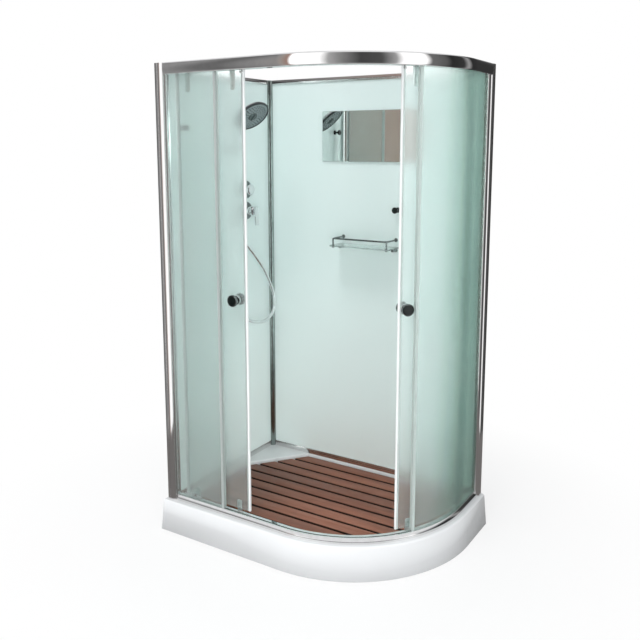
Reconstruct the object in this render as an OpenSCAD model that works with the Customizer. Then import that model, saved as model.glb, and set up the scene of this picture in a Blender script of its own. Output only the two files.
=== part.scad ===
// Offset-quadrant shower cabin: tray, two walls, curved rails, fixed panels and two sliding doors.
// Millimetres. +Z is up, the doors face -Y, the rounded corner is at +X, -Y.

/* [Overall] */
// Overall width, over the flared skirt of the tray
cabin_w = 1200; // [1150:10:1300]
// Overall depth, over the flared skirt of the tray
cabin_d = 800; // [780:10:900]
// Overall height, floor to the top of the rail
cabin_h = 2000; // [1900:10:2200]
// Outer radius of the rounded front corner, at the rail's face
corner_r = 550; // [540:5:560]

/* [Tray] */
// Height of the tray's rim
tray_h = 140; // [130:5:160]
// Thickness of the acrylic shell
tray_wall = 5; // [4:0.5:7]
// How far the skirt's foot stands out past the rim, at the front
skirt_flare = 13; // [8:1:16]
// How far the rim stands out past the rail's face
rim_lip = 12; // [8:1:16]
// How far the skirt's foot stands out past the rim, at the left end
side_flare = 8; // [5:1:10]
// How far the rim stands out past the left end profile
side_lip = 9; // [6:1:12]
// Radius of the rim's rounded edge
rim_edge_r = 6; // [4:1:8]
// Height of the gap under the skirt
skirt_gap = 2; // [1:0.5:5]
// Length of the skirt's return along the left side
skirt_return = 150; // [100:10:200]
// Depth of the plain flange along the two wall sides
wall_flange = 40; // [30:5:50]
// Width of the front rim, from the rail's face to the basin
rim_w = 62; // [58:1:70]
// Height of the basin's floor
basin_floor = 85; // [80:1:90]
// Width of the ledge in the rear left corner, along the back wall
ledge_x = 208; // [150:5:260]
// Length of the ledge in the rear left corner, along the left wall
ledge_y = 270; // [200:5:300]

/* [Waste] */
// Place of the waste, from the middle of the cabin to the right
waste_x = -300; // [-320:10:-260]
// Place of the waste, from the middle of the cabin to the back
waste_y = 120; // [60:10:150]
// Radius of the trap's body
trap_r = 55; // [50:1:60]
// Radius of the waste hole in the tray
waste_hole_r = 45; // [40:1:48]
// Outer radius of the outlet spigot
spigot_r = 20; // [16:1:20]
// Length of the outlet spigot, past its collar
spigot_l = 60; // [40:5:80]
// Height of the outlet spigot's middle
spigot_z = 30; // [28:1:32]

/* [Frame under the tray] */
// Side of the square steel tube
tube_side = 25; // [20:1:25]
// Wall of the steel tube
tube_wall = 2; // [1.5:0.5:3]
// Radius of the threaded feet
foot_rod_r = 5; // [4:0.5:6]
// Radius of the foot pads
foot_pad_r = 25; // [20:1:30]
// Thickness of the foot pads
foot_pad_t = 8; // [6:1:12]

/* [Deck] */
// Width of one wooden slat
slat_w = 59; // [50:1:80]
// Gap between two slats
slat_gap = 13; // [6:1:16]
// Thickness of one slat
slat_t = 20; // [15:1:22]
// Depth of the deck's top below the rim
deck_drop = 14; // [10:1:20]
// Width of the rearmost slat
rear_slat_w = 57; // [40:1:60]
// Gap between the deck and the basin's wall
deck_gap = 4; // [3:0.5:8]
// Width of one batten
batten_w = 40; // [30:1:60]

/* [Walls] */
// Gap from the tray's left edge to the left wall's inner face
left_gap = 55; // [50:1:60]
// Gap from the tray's back edge to the back wall's inner face
back_gap = 30; // [24:1:40]
// Thickness of the wall panels
wall_t = 6; // [5:0.5:8]
// How far the walls end below the top of the rail
wall_drop = 18; // [12:1:30]
// Height of the metal trim along the top of a wall
top_trim_h = 21; // [15:1:30]
// Height of the metal trim along the foot of a wall
foot_trim_h = 26; // [20:1:35]
// Thickness of the trim's front leg
trim_t = 4; // [3:0.5:5]
// Leg of the cover strip in the corner
corner_leg = 19; // [15:1:25]
// Thickness of the sheet metal behind the corner and the trims
back_leg_t = 2; // [1.5:0.5:3]

/* [Profiles and rails] */
// Width of the upright profiles at the two ends
profile_w = 50; // [44:1:56]
// Depth of the upright profiles, along the panels
profile_d = 35; // [30:1:40]
// Height of the top rail's face
rail_h = 46; // [40:1:50]
// Depth of the top rail, face to inner lip
rail_d = 62; // [60:1:66]
// How far the top rail's face bulges out
rail_bulge = 3; // [2:0.5:4]
// Wall of the rail extrusions
rail_t = 2.5; // [2:0.5:3]
// Height of the bottom rail
foot_rail_h = 22; // [20:1:25]
// How far the bottom rail's face is set back from the top rail's face
foot_rail_inset = 8; // [6:1:10]

/* [Glass] */
// Thickness of all the front glass
glass_t = 5; // [4:0.5:6]
// Distance from the rail's face to the fixed glass
fixed_inset = 22; // [20:0.5:22]
// Distance from the rail's face to the door glass
door_inset = 45; // [45:0.5:46]
// Side clearance of a panel in its groove
groove_gap = 0.2; // [0.1:0.05:0.4]
// Width of the left fixed panel that shows
left_fixed_w = 250; // [230:5:300]
// Angle round the corner at which the right fixed panel starts
right_fixed_a = 57.6; // [55:0.1:60]
// Width of the left door over its seals
left_door_w = 345; // [330:5:360]
// Distance from the left profile to the left door when open
left_door_start = 28; // [20:1:40]
// Angle round the corner of the right door's leading edge when open
right_door_a = 50.4; // [48:0.1:52]
// Overlap of a closed door and its fixed panel
door_lap = 20; // [15:1:30]
// Gap between the top of the door glass and the rail
door_top_gap = 10; // [8:1:15]
// Gap between the tray's rim and the door glass
door_foot_gap = 30; // [26:1:36]
// Width of an edge seal, beyond the glass and over it
seal_w = 14; // [12:1:16]
// Thickness of an edge seal beyond each face of the glass
seal_t = 2; // [1.5:0.5:2.5]

/* [Rollers] */
// Radius of the top rollers
top_wheel_r = 12; // [10:0.5:12.5]
// Radius of the lower rollers
low_wheel_r = 7; // [6:0.5:7.5]
// Width of a roller
wheel_w = 10; // [8:0.5:10]
// Radius of a roller's axle
axle_r = 3; // [2.5:0.5:3.5]
// Radial clearance of a roller on its axle
axle_gap = 0.05; // [0.02:0.01:0.1]
// Gap between a roller and the track that it runs on
track_gap = 0.3; // [0.2:0.05:0.4]
// Distance from a door's edge to its near rollers
hanger_in = 60; // [50:5:80]
// Distance from the right door's trailing edge to its rear rollers
right_hanger_in = 150; // [120:5:180]

/* [Door knobs] */
// Height of the knobs above the floor
knob_z = 1060; // [950:10:1150]
// Radius of a knob
knob_r = 24; // [20:1:25]
// Thickness of a knob
knob_t = 17; // [14:1:20]
// Length of the stem between the glass and a knob
stem_l = 13; // [10:1:16]
// Radius of a knob's stem
stem_r = 8; // [6:1:9]
// Distance from the left door's leading edge to its knob
knob_in = 57; // [50:1:62]
// Distance from the right door's leading edge to its knob
right_knob_in = 29; // [28:0.5:40]

/* [Wall fittings] */
// Place of the mixer, from the back wall
mixer_y = 200; // [180:5:230]
// How far the mixer is below the cabin's top
mixer_drop = 631; // [600:1:700]
// How far the diverter knob is above the mixer
diverter_rise = 99; // [88:1:130]
// Radius of the round plates
plate_r = 42; // [36:1:46]
// Radius of the mixer's body
mixer_r = 21; // [18:1:24]
// Radius of the diverter knob
diverter_r = 24; // [20:1:28]
// Place of the hose outlet, from the back wall
outlet_y = 262; // [255:1:275]
// How far the hose outlet is below the mixer
outlet_fall = 49; // [40:1:58]
// How far the hose outlet stands off the wall
outlet_out = 28; // [24:1:34]
// Place of the handset's holder, from the back wall
holder_y = 321; // [310:1:335]
// How far the handset's holder is above the mixer
holder_rise = 286; // [270:1:300]
// How far the holder's ring stands off the wall
holder_out = 64; // [58:1:80]

/* [Handset] */
// Lean of the handset's handle from upright
handset_lean = 8; // [4:1:14]
// Turn of the handset towards the front
handset_turn = 10; // [5:1:15]
// Angle between the handle and the direction of the spray
spray_angle = 128.6; // [120:0.2:132]
// Radius of the shower head
head_r = 78; // [70:1:82]
// Distance from the holder to the bend behind the head's lower rim
bend_up = 107; // [95:1:120]
// Distance from the face's plane to the neck's axis behind it
neck_back = 16; // [15:0.5:20]
// Radius of the handle in the holder
handle_r = 11; // [10:0.5:12]
// Diameter of the hose
hose_d = 14; // [12:1:15]

/* [Back wall fittings] */
// Width of the mirror
mirror_w = 500; // [400:10:560]
// Height of the mirror
mirror_h = 229; // [200:1:300]
// How far the mirror's lower edge is below the cabin's top
mirror_drop = 400; // [350:5:450]
// Middle of the mirror, from the cabin's middle to the right
mirror_x = 10; // [-40:5:40]
// Width of the glass shelf
shelf_w = 305; // [280:5:330]
// Depth of the glass shelf
shelf_d = 110; // [90:1:130]
// How far the shelf's top is below the cabin's top
shelf_drop = 778; // [740:1:820]
// Middle of the shelf, from the cabin's middle to the right
shelf_x = 10; // [-20:5:20]
// Height of the guard rail above the shelf
guard_h = 31; // [25:1:45]
// How far the robe hook on the back wall is above the shelf
hook_rise = 166; // [120:1:200]
// How far the robe hook on the left wall is below the cabin's top
side_hook_drop = 255; // [220:1:300]
// Radius of a robe hook's knob
hook_r = 14; // [11:0.5:16]
// How far a robe hook stands off the wall
hook_l = 35; // [30:1:40]

/* [Hidden] */

big = 4 * cabin_w;
seat_gap = 0.25;

// The rail's face, the walls' inner faces and the centre of the rounded corner
front_y = -cabin_d / 2 + skirt_flare + rim_lip;
right_x = cabin_w / 2 - skirt_flare - rim_lip;
left_x = -cabin_w / 2 + side_flare + side_lip;
wall_x = -cabin_w / 2 + left_gap;
wall_y = cabin_d / 2 - back_gap;
arc_x = right_x - corner_r;
arc_y = front_y + corner_r;
rail_x0 = left_x + profile_w;
right_profile_y = wall_y - 18;
wall_top = cabin_h - wall_drop;

// Heights and places of the fittings
mixer_z = cabin_h - mixer_drop;
diverter_z = mixer_z + diverter_rise;
outlet_z = mixer_z - outlet_fall;
holder_z = mixer_z + holder_rise;
mirror_z = cabin_h - mirror_drop;
shelf_z = cabin_h - shelf_drop;
hook_x = shelf_x + shelf_w / 2 - 10;
hook_z = shelf_z + hook_rise;
side_hook_y = front_y + profile_d + 80;
side_hook_z = cabin_h - side_hook_drop;

// The basin and the deck
basin_left = wall_x + 15;
basin_back = wall_y - 5;
deck_top = tray_h - deck_drop;
batten_h = deck_top - slat_t - basin_floor;
tub_under = basin_floor - tray_wall;
frame_z = tub_under - tube_side;

// The steel frame's lines
frame_back_y = wall_y - 70;
frame_mid_y = -100;
frame_left_x = -cabin_w / 2 + 80;
frame_mid_x = -60;
frame_right_x = right_x - 175;
frame_front_y = front_y + 55;
feet = [
    [frame_left_x, frame_front_y + 20], [frame_mid_x, frame_front_y + 20], [frame_right_x, frame_mid_y],
    [frame_left_x, frame_back_y], [frame_mid_x, frame_back_y], [frame_right_x, frame_back_y]
];

// The rails
rail_z = cabin_h - rail_h;
channel_in = fixed_inset + glass_t + groove_gap;
channel_out = fixed_inset - groove_gap;
web_t = 3.8;
track_z = rail_z + 7;
track_end = door_inset - 1;
foot_rail_z = tray_h + foot_rail_h;
lip_z = tray_h + 18;
fixed_top = cabin_h - 28;
fixed_foot = tray_h + 4;
groove_depth = 10;

// The doors
door_in = door_inset + glass_t;
door_z0 = tray_h + door_foot_gap;
door_z1 = rail_z - door_top_gap;
left_door_x0 = rail_x0 + left_door_start;
left_door_x1 = left_door_x0 + left_door_w;
left_fixed_x1 = rail_x0 + left_fixed_w;
left_travel = left_fixed_x1 - door_lap - left_door_x0;
door_mid_r = corner_r - door_inset - glass_t / 2;
meet_a = asin((left_door_x1 + left_travel + 0.6 - arc_x) / door_mid_r);
right_travel_a = right_door_a - meet_a;
right_door_span = right_fixed_a - meet_a + door_lap / door_mid_r * 180 / PI;
right_door_a1 = right_door_a + right_door_span;
seal_a = seal_w / door_mid_r * 180 / PI;
top_axle_z = track_z + 2.5 + track_gap + top_wheel_r;
low_axle_z = lip_z - track_gap - low_wheel_r;
wheel_out = door_in - (channel_in + web_t) - 1.5;
front_hanger_x = left_door_x1 - hanger_in;
rear_hanger_x = left_door_x0 + hanger_in;
front_hanger_a = right_door_a + hanger_in / door_mid_r * 180 / PI;
rear_hanger_a = right_door_a1 - right_hanger_in / door_mid_r * 180 / PI;
left_knob_x = left_door_x1 - knob_in;
right_knob_a = right_door_a + right_knob_in / door_mid_r * 180 / PI;

// The handset's frame: its handle's axis passes through the holder's ring
holder_at = [wall_x + holder_out, wall_y - holder_y, holder_z];
handle_axis = [sin(handset_lean) * cos(handset_turn), -sin(handset_lean) * sin(handset_turn), cos(handset_lean)];
head_out = neck_back * sin(spray_angle) - head_r * cos(spray_angle);
head_up = bend_up + head_r * sin(spray_angle) + neck_back * cos(spray_angle);
neck_r = handle_r + 2;
handle_foot = 28;
nut_l = 20;
ring_h = 20;
outlet_at = [wall_x + outlet_out, wall_y - outlet_y, outlet_z - 20];
hose_top = holder_at - (handle_foot + nut_l) * handle_axis;
hose_start = outlet_at - [0, 0, nut_l];

// The hose hangs in one loop from the outlet to the handset. Each point of the loop is given by its
// distance from the left wall, its distance from the back wall and its height over the outlet's middle.
loop = [
    [28, 259, -76], [31, 250, -95], [37, 224, -127], [43, 195, -161], [54, 142, -230], [64, 98, -312],
    [72, 76, -388], [77, 94, -446], [78, 152, -479], [76, 227, -476], [73, 296, -449], [69, 350, -396],
    [66, 381, -323], [63, 395, -230], [59, 390, -108], [55, 370, 22], [52, 345, 145], [53, 327, 222],
    [54, 322, 252]
];
route = [
    hose_start, hose_start - [0, 0, 16],
    for (p = loop) [wall_x + p[0], wall_y - p[1], outlet_z + p[2]],
    hose_top - 16 * handle_axis, hose_top
];

function unit(v) = v / norm(v);
function blend(a, b, c, d, t) =
    0.5 * (2 * b + (c - a) * t + (2 * a - 5 * b + 4 * c - d) * t * t + (3 * b - a - 3 * c + d) * t * t * t);
function route_at(i) = route[min(max(i, 0), len(route) - 1)];
steps_per_leg = 3;
hose_line = [
    for (i = [0:len(route) - 2]) for (k = [0:steps_per_leg - 1])
        blend(route_at(i - 1), route_at(i), route_at(i + 1), route_at(i + 2), k / steps_per_leg),
    hose_top
];
function gap_sum(p, i) = i == 0 ? 0 : norm(p[i] - p[i - 1]) + gap_sum(p, i - 1);
hose_length = gap_sum(hose_line, len(hose_line) - 1);

function arc_points(c, r, a0, a1, n) = [for (i = [0:n]) c + r * [cos(a0 + (a1 - a0) * i / n), sin(a0 + (a1 - a0) * i / n)]];

// Inside of the front line, drawn in by an inset from the rail's face
module plan_inside(inset, x0, y1) {
    translate([x0, front_y + inset]) square([arc_x - x0, y1 - front_y - inset]);
    translate([arc_x, arc_y]) square([corner_r - inset, y1 - arc_y]);
    intersection() {
        translate([arc_x, arc_y]) circle(r = corner_r - inset, $fn = 180);
        translate([arc_x, arc_y - corner_r]) square([corner_r, corner_r]);
    }
}

// Runs a section along the front: x in the section is the inset from the rail's face, y is the height
module along_front(x0, y1) {
    translate([x0, front_y, 0]) rotate([90, 0, 90]) linear_extrude(arc_x - x0) children();
    translate([arc_x, arc_y, 0]) rotate([0, 0, -90])
        rotate_extrude(angle = 90, $fn = 180) translate([corner_r, 0]) mirror([1, 0]) children();
    translate([right_x, arc_y, 0]) rotate([90, 0, 180]) linear_extrude(y1 - arc_y) children();
}

// Runs a section round part of the corner, between two angles from the front line
module round_corner(a0, a1) {
    translate([arc_x, arc_y, 0]) rotate([0, 0, a0 - 90])
        rotate_extrude(angle = a1 - a0, $fn = 180) translate([corner_r, 0]) mirror([1, 0]) children();
}

// Local frames: a door's inner face, the left wall and the back wall
module on_left_door(x) { translate([x, front_y + door_in, 0]) children(); }
module on_right_door(a) { translate([arc_x, arc_y, 0]) rotate([0, 0, a]) translate([0, door_in - corner_r, 0]) children(); }
module on_left_wall(from_back, z) { translate([wall_x, wall_y - from_back, z]) rotate([0, 90, 0]) children(); }
module on_back_wall(x, z) { translate([x, wall_y, z]) rotate([90, 0, 0]) children(); }
module on_handset() { translate(holder_at) rotate([0, 0, -handset_turn]) rotate([0, handset_lean, 0]) children(); }
module on_head() { on_handset() translate([head_out, 0, head_up]) rotate([0, spray_angle, 0]) children(); }

module bolt_hole(r) { rotate([90, 0, 0]) cylinder(r = r, h = 4 * glass_t, center = true, $fn = 32); }

// Outline of the basin, grown by some distance
module basin_plan(grow) {
    k = grow / norm([ledge_x, ledge_y]);
    difference() {
        plan_inside(rim_w - grow, basin_left - grow, basin_back + grow);
        translate([-ledge_y * k, ledge_x * k])
            polygon([[basin_left - 2 * abs(grow) - 1, basin_back - ledge_y - (2 * abs(grow) + 1) * ledge_y / ledge_x],
                [basin_left + ledge_x + (2 * abs(grow) + 1) * ledge_x / ledge_y, basin_back + 2 * abs(grow) + 1],
                [basin_left - 2 * abs(grow) - 1, basin_back + 2 * abs(grow) + 1]]);
    }
}

// Section of the rim and the flared skirt
module skirt_section() {
    rim_a = -rim_lip;
    foot_a = -rim_lip - skirt_flare;
    polygon(concat(
        [[foot_a + tray_wall, skirt_gap], [foot_a, skirt_gap]],
        [for (p = arc_points([rim_a + rim_edge_r, tray_h - rim_edge_r], rim_edge_r, 175, 90, 8)) p],
        [[10, tray_h], [10, tray_h - tray_wall], [rim_a + tray_wall + 2, tray_h - tray_wall]]));
}

// The half spaces inside the two sloping faces of the skirt
module skirt_slopes() {
    intersection() {
        translate([0, big / 2, 0]) rotate([90, 0, 0]) linear_extrude(big)
            polygon([[-cabin_w / 2, 0], [-cabin_w / 2 + side_flare, tray_h], [big, tray_h], [big, 0]]);
        translate([-big / 2, 0, 0]) rotate([90, 0, 90]) linear_extrude(big)
            polygon([[-cabin_d / 2, 0], [-cabin_d / 2 + skirt_flare, tray_h], [big, tray_h], [big, 0]]);
    }
}

module tray() color([0.90, 0.91, 0.92]) difference() {
    union() {
        intersection() {
            along_front(-cabin_w / 2, cabin_d / 2) skirt_section();
            skirt_slopes();
        }
        intersection() {
            translate([0, front_y + skirt_return, 0]) rotate([90, 0, 0]) linear_extrude(skirt_return + 30)
                polygon([[-cabin_w / 2, skirt_gap], [-cabin_w / 2 + side_flare, tray_h - 1],
                    [-cabin_w / 2 + side_flare + tray_wall, tray_h - 1], [-cabin_w / 2 + tray_wall, skirt_gap]]);
            skirt_slopes();
        }
        translate([0, 0, tray_h - tray_wall]) linear_extrude(tray_wall)
            plan_inside(rim_edge_r - rim_lip, -cabin_w / 2 + side_flare, cabin_d / 2);
        translate([0, 0, tray_h - wall_flange]) linear_extrude(wall_flange) {
            translate([-cabin_w / 2 + side_flare, front_y + 30]) square([tray_wall, cabin_d / 2 - front_y - 30]);
            translate([-cabin_w / 2 + side_flare, cabin_d / 2 - tray_wall])
                square([right_x + cabin_w / 2 - side_flare, tray_wall]);
        }
        translate([0, 0, tub_under]) linear_extrude(tray_h - tub_under) basin_plan(tray_wall);
    }
    translate([0, 0, basin_floor]) linear_extrude(tray_h) basin_plan(0);
    translate([waste_x, waste_y, 0]) cylinder(r = waste_hole_r, h = tray_h, $fn = 96);
}

module frame_tube(from, to) {
    d = to - from;
    translate([from[0], from[1], frame_z]) rotate([0, 0, atan2(d[1], d[0])])
        translate([0, -tube_side / 2, 0]) difference() {
            cube([norm(d), tube_side, tube_side]);
            translate([tube_wall, tube_wall, tube_wall])
                cube([norm(d) - 2 * tube_wall, tube_side - 2 * tube_wall, tube_side - 2 * tube_wall]);
        }
}

module tray_frame() color([0.45, 0.46, 0.48]) difference() {
    union() {
        frame_tube([frame_left_x - 20, frame_back_y], [frame_right_x + 60, frame_back_y]);
        frame_tube([frame_left_x - 20, frame_mid_y], [frame_right_x + 20, frame_mid_y]);
        frame_tube([frame_left_x, frame_front_y], [frame_left_x, frame_back_y + 20]);
        frame_tube([frame_mid_x, frame_front_y], [frame_mid_x, frame_back_y + 20]);
        frame_tube([frame_right_x, frame_mid_y - 20], [frame_right_x, frame_back_y + 20]);
    }
    for (p = feet) translate([p[0], p[1], 0]) cylinder(r = foot_rod_r + 0.05, h = tub_under - 6, $fn = 48);
}

module tray_feet() color([0.12, 0.12, 0.13]) for (p = feet) translate([p[0], p[1], 0]) {
    rotate_extrude($fn = 96) polygon([[0, 0], [foot_pad_r, 0], [foot_pad_r, foot_pad_t / 2],
        [foot_pad_r - 4, foot_pad_t], [0, foot_pad_t]]);
    cylinder(r = foot_rod_r, h = tub_under - 8, $fn = 48);
    translate([0, 0, frame_z - 8]) cylinder(r = 2 * foot_rod_r, h = 8, $fn = 6);
}

pipe_l = waste_x + cabin_w / 2 - 2;
module drain_trap() color([0.20, 0.20, 0.22]) translate([waste_x, waste_y, 0]) difference() {
    union() {
        translate([0, 0, 10]) cylinder(r = trap_r, h = tub_under - 10, $fn = 96);
        translate([0, 0, spigot_z]) rotate([0, -90, 0]) cylinder(r = spigot_r + 2, h = pipe_l - spigot_l, $fn = 64);
        translate([0, 0, spigot_z]) rotate([0, -90, 0]) cylinder(r = spigot_r, h = pipe_l, $fn = 64);
    }
    translate([0, 0, 14]) cylinder(r = trap_r - 4, h = big, $fn = 96);
    translate([0, 0, spigot_z]) rotate([0, -90, 0]) cylinder(r = spigot_r - 3, h = big, $fn = 64);
}

// The grate's flange lies on the basin's floor and its cup hangs in the trap
module drain_grate() color([0.80, 0.81, 0.82]) translate([waste_x, waste_y, basin_floor]) difference() {
    union() {
        cylinder(r = waste_hole_r + 8, h = 2.5, $fn = 96);
        translate([0, 0, -20]) cylinder(r = waste_hole_r - 1, h = 20, $fn = 96);
    }
    translate([0, 0, -17]) cylinder(r = waste_hole_r - 4, h = 17, $fn = 96);
    for (k = [0:11]) rotate([0, 0, 30 * k]) translate([14, -2.5, -1]) cube([24, 5, 5]);
    for (k = [0:5]) rotate([0, 0, 60 * k]) translate([waste_hole_r - 10, -6, -14]) cube([14, 12, 10]);
}

slat_pitch = slat_w + slat_gap;
deck_back = basin_back - deck_gap;
slat_rows = ceil((deck_back - rear_slat_w - (front_y + rim_w)) / slat_pitch);

module deck_slats() color([0.55, 0.38, 0.31]) intersection() {
    for (i = [0:slat_rows]) {
        top_y = i == 0 ? deck_back + 1 : deck_back - rear_slat_w - slat_gap - (i - 1) * slat_pitch;
        depth = i == 0 ? rear_slat_w + 1 : slat_w;
        translate([basin_left, top_y - depth, deck_top - slat_t]) cube([big / 4, depth, slat_t]);
    }
    translate([0, 0, deck_top - slat_t]) linear_extrude(slat_t) basin_plan(-deck_gap);
}

module deck_battens() color([0.40, 0.27, 0.22]) intersection() {
    for (k = [0:3])
        translate([basin_left + 70 + k * (right_x - rim_w - basin_left - 183) / 3, front_y, basin_floor])
            cube([batten_w, wall_y - front_y, batten_h]);
    translate([0, 0, basin_floor]) linear_extrude(batten_h) basin_plan(-deck_gap - 6);
}

module wall_holes() {
    on_left_wall(mixer_y, mixer_z) cylinder(r = 15.5, h = 4 * wall_t, center = true, $fn = 64);
    on_left_wall(mixer_y, diverter_z) cylinder(r = 12.5, h = 4 * wall_t, center = true, $fn = 64);
    on_left_wall(outlet_y, outlet_z) cylinder(r = 10.5, h = 4 * wall_t, center = true, $fn = 64);
}

module left_wall() color([0.86, 0.92, 0.90]) difference() {
    y0 = front_y + profile_d - groove_depth;
    translate([wall_x - wall_t, y0, tray_h + 3]) cube([wall_t, wall_y - 1.5 - y0, wall_top - 6 - tray_h]);
    wall_holes();
}

module back_wall() color([0.88, 0.94, 0.92])
    translate([wall_x + 1.5, wall_y, tray_h + 3])
        cube([right_x - profile_d + groove_depth - wall_x - 1.5, wall_t, wall_top - 6 - tray_h]);

module corner_profile() color([0.75, 0.76, 0.78])
    translate([wall_x, wall_y, tray_h]) linear_extrude(wall_top - tray_h) {
        polygon(concat([[0, 0]], [[0, -corner_leg]],
            [for (p = arc_points([-4, 4], norm([corner_leg + 4, 4]), -80, -10, 8)) p], [[corner_leg, 0]]));
        translate([-wall_t, 0]) square([wall_t, wall_t]);
        translate([-wall_t - back_leg_t, -corner_leg]) square([back_leg_t, corner_leg + wall_t + back_leg_t]);
        translate([-wall_t - back_leg_t, wall_t]) square([corner_leg + wall_t + back_leg_t, back_leg_t]);
        translate([-1.25, -1.25]) square([2.5, 2.5]);
    }

// Channel sections that cap the top and hold the foot of a wall panel of some length
module wall_trim(l) {
    module channel(h, base) {
        rotate([90, 0, 90]) linear_extrude(l) difference() {
            translate([-trim_t, 0]) square([trim_t + wall_t + back_leg_t, h]);
            translate([0, base ? 3 : -1]) square([wall_t, h - 2]);
        }
    }
    translate([0, 0, wall_top - top_trim_h]) channel(top_trim_h, false);
    translate([0, 0, tray_h]) channel(foot_trim_h, true);
}

module wall_trims() color([0.72, 0.73, 0.75]) {
    translate([wall_x + corner_leg + seat_gap, wall_y, 0])
        wall_trim(right_x - profile_d - wall_x - corner_leg - 2 * seat_gap);
    translate([wall_x, front_y + profile_d + seat_gap, 0]) rotate([0, 0, 90])
        wall_trim(wall_y - corner_leg - front_y - profile_d - 2 * seat_gap);
}

// Upright with a groove for the wall on one face and a groove for the fixed glass on the next
module left_end_profile() color([0.62, 0.63, 0.65])
    translate([0, 0, tray_h]) linear_extrude(cabin_h - tray_h) difference() {
        translate([left_x, front_y]) square([profile_w, profile_d]);
        translate([left_x + 3, front_y + 3]) square([wall_x - wall_t - left_x - 8, profile_d - 6]);
        translate([wall_x - wall_t - groove_gap, front_y + profile_d - groove_depth - 1])
            square([wall_t + 2 * groove_gap, groove_depth + 2]);
        translate([rail_x0 - groove_depth - 1, front_y + channel_out]) square([groove_depth + 2, glass_t + 2 * groove_gap]);
    }

module right_end_profile() color([0.62, 0.63, 0.65])
    translate([0, 0, tray_h]) linear_extrude(cabin_h - tray_h) difference() {
        translate([right_x - profile_d, right_profile_y]) square([profile_d, profile_w - 10]);
        translate([right_x - profile_d + 3, wall_y + wall_t + 3]) square([profile_d - 6, profile_w - 10 - 18 - wall_t - 6]);
        translate([right_x - profile_d - 1, wall_y - groove_gap]) square([groove_depth + 2, wall_t + 2 * groove_gap]);
        translate([right_x - fixed_inset - glass_t - groove_gap, right_profile_y - 1])
            square([glass_t + 2 * groove_gap, groove_depth + 2]);
    }

module rail_section() {
    face_r = (rail_h * rail_h / 4 + rail_bulge * rail_bulge) / (2 * rail_bulge);
    intersection() {
        translate([face_r - rail_bulge, rail_z + rail_h / 2]) circle(r = face_r, $fn = 240);
        translate([-rail_bulge - 1, rail_z]) square([rail_bulge + 1 + rail_t, rail_h]);
    }
    translate([0, cabin_h - rail_t]) square([rail_d, rail_t]);
    translate([channel_out - web_t, rail_z]) square([web_t, rail_h - 1]);
    translate([0, rail_z]) square([channel_out, rail_t]);
    translate([channel_in, rail_z]) square([web_t, rail_h - 1]);
    translate([channel_in, track_z]) square([track_end - channel_in, 2.5]);
    translate([rail_d - 2, cabin_h - 11]) square([2, 10]);
}

module top_rail() color([0.70, 0.71, 0.73]) along_front(rail_x0, right_profile_y) rail_section();

module foot_rail_section() {
    polygon([[foot_rail_inset, tray_h], [foot_rail_inset, tray_h + 11], [channel_out - 5, foot_rail_z],
        [channel_out, foot_rail_z], [channel_out, tray_h + 2], [channel_in, tray_h + 2],
        [channel_in, foot_rail_z], [channel_in + web_t, foot_rail_z], [channel_in + web_t, lip_z + 2.5],
        [track_end, lip_z + 2.5], [track_end, lip_z], [channel_in + web_t, lip_z],
        [channel_in + web_t, tray_h + 2], [track_end, tray_h + 2], [track_end, tray_h]]);
}

module bottom_rail() color([0.70, 0.71, 0.73]) along_front(rail_x0, right_profile_y) foot_rail_section();

// Angle brackets under the rail's flange that fix it to the two uprights
module rail_brackets() color([0.66, 0.67, 0.69]) {
    u0 = channel_in + web_t + 14;
    translate([rail_x0, front_y + u0, cabin_h - rail_t - 24]) {
        cube([3, 12, 24]);
        translate([0, 0, 21]) cube([26, 12, 3]);
    }
    translate([right_x - u0 - 12, right_profile_y - 3, cabin_h - rail_t - 24]) {
        cube([12, 3, 24]);
        translate([0, -23, 21]) cube([12, 26, 3]);
    }
}

module screw_head() {
    difference() {
        rotate_extrude($fn = 48) polygon([[0, 0], [4, 0], [4, 1.2], [2.6, 2.6], [0, 2.6]]);
        translate([0, 0, 1.4]) cylinder(r = 1.5, h = 3, $fn = 6);
    }
}

module frame_screws() color([0.78, 0.79, 0.80]) for (k = [0:5]) {
    z = tray_h + 90 + k * (wall_top - tray_h - 180) / 5;
    translate([left_x + 16, front_y + profile_d, z]) rotate([-90, 0, 0]) screw_head();
    translate([right_x - profile_d, right_profile_y + 9, z]) rotate([0, -90, 0]) screw_head();
}

module left_fixed_glass() color([0.70, 0.82, 0.79])
    translate([rail_x0 - groove_depth + 1, front_y + fixed_inset, fixed_foot])
        cube([left_fixed_x1 - rail_x0 + groove_depth - 1, glass_t, fixed_top - fixed_foot]);

module right_fixed_glass() color([0.70, 0.82, 0.79])
    translate([0, 0, fixed_foot]) linear_extrude(fixed_top - fixed_foot) difference() {
        plan_inside(fixed_inset, arc_x - 1, right_profile_y + groove_depth - 1);
        plan_inside(fixed_inset + glass_t, arc_x - 10, right_profile_y + groove_depth);
        translate([arc_x, arc_y]) rotate(right_fixed_a - 90)
            translate([-corner_r, -2 * corner_r]) square([3 * corner_r, 2 * corner_r]);
    }

// Clip-on strip for a glass edge, in plan: the edge is at x = 0 and the strip runs over it to -x
module clip_seal_plan(over, inset) {
    difference() {
        translate([-over, inset - seal_t]) square([over + 2, glass_t + 2 * seal_t]);
        translate([-over - 1, inset]) square([over + 1, glass_t]);
    }
}

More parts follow.
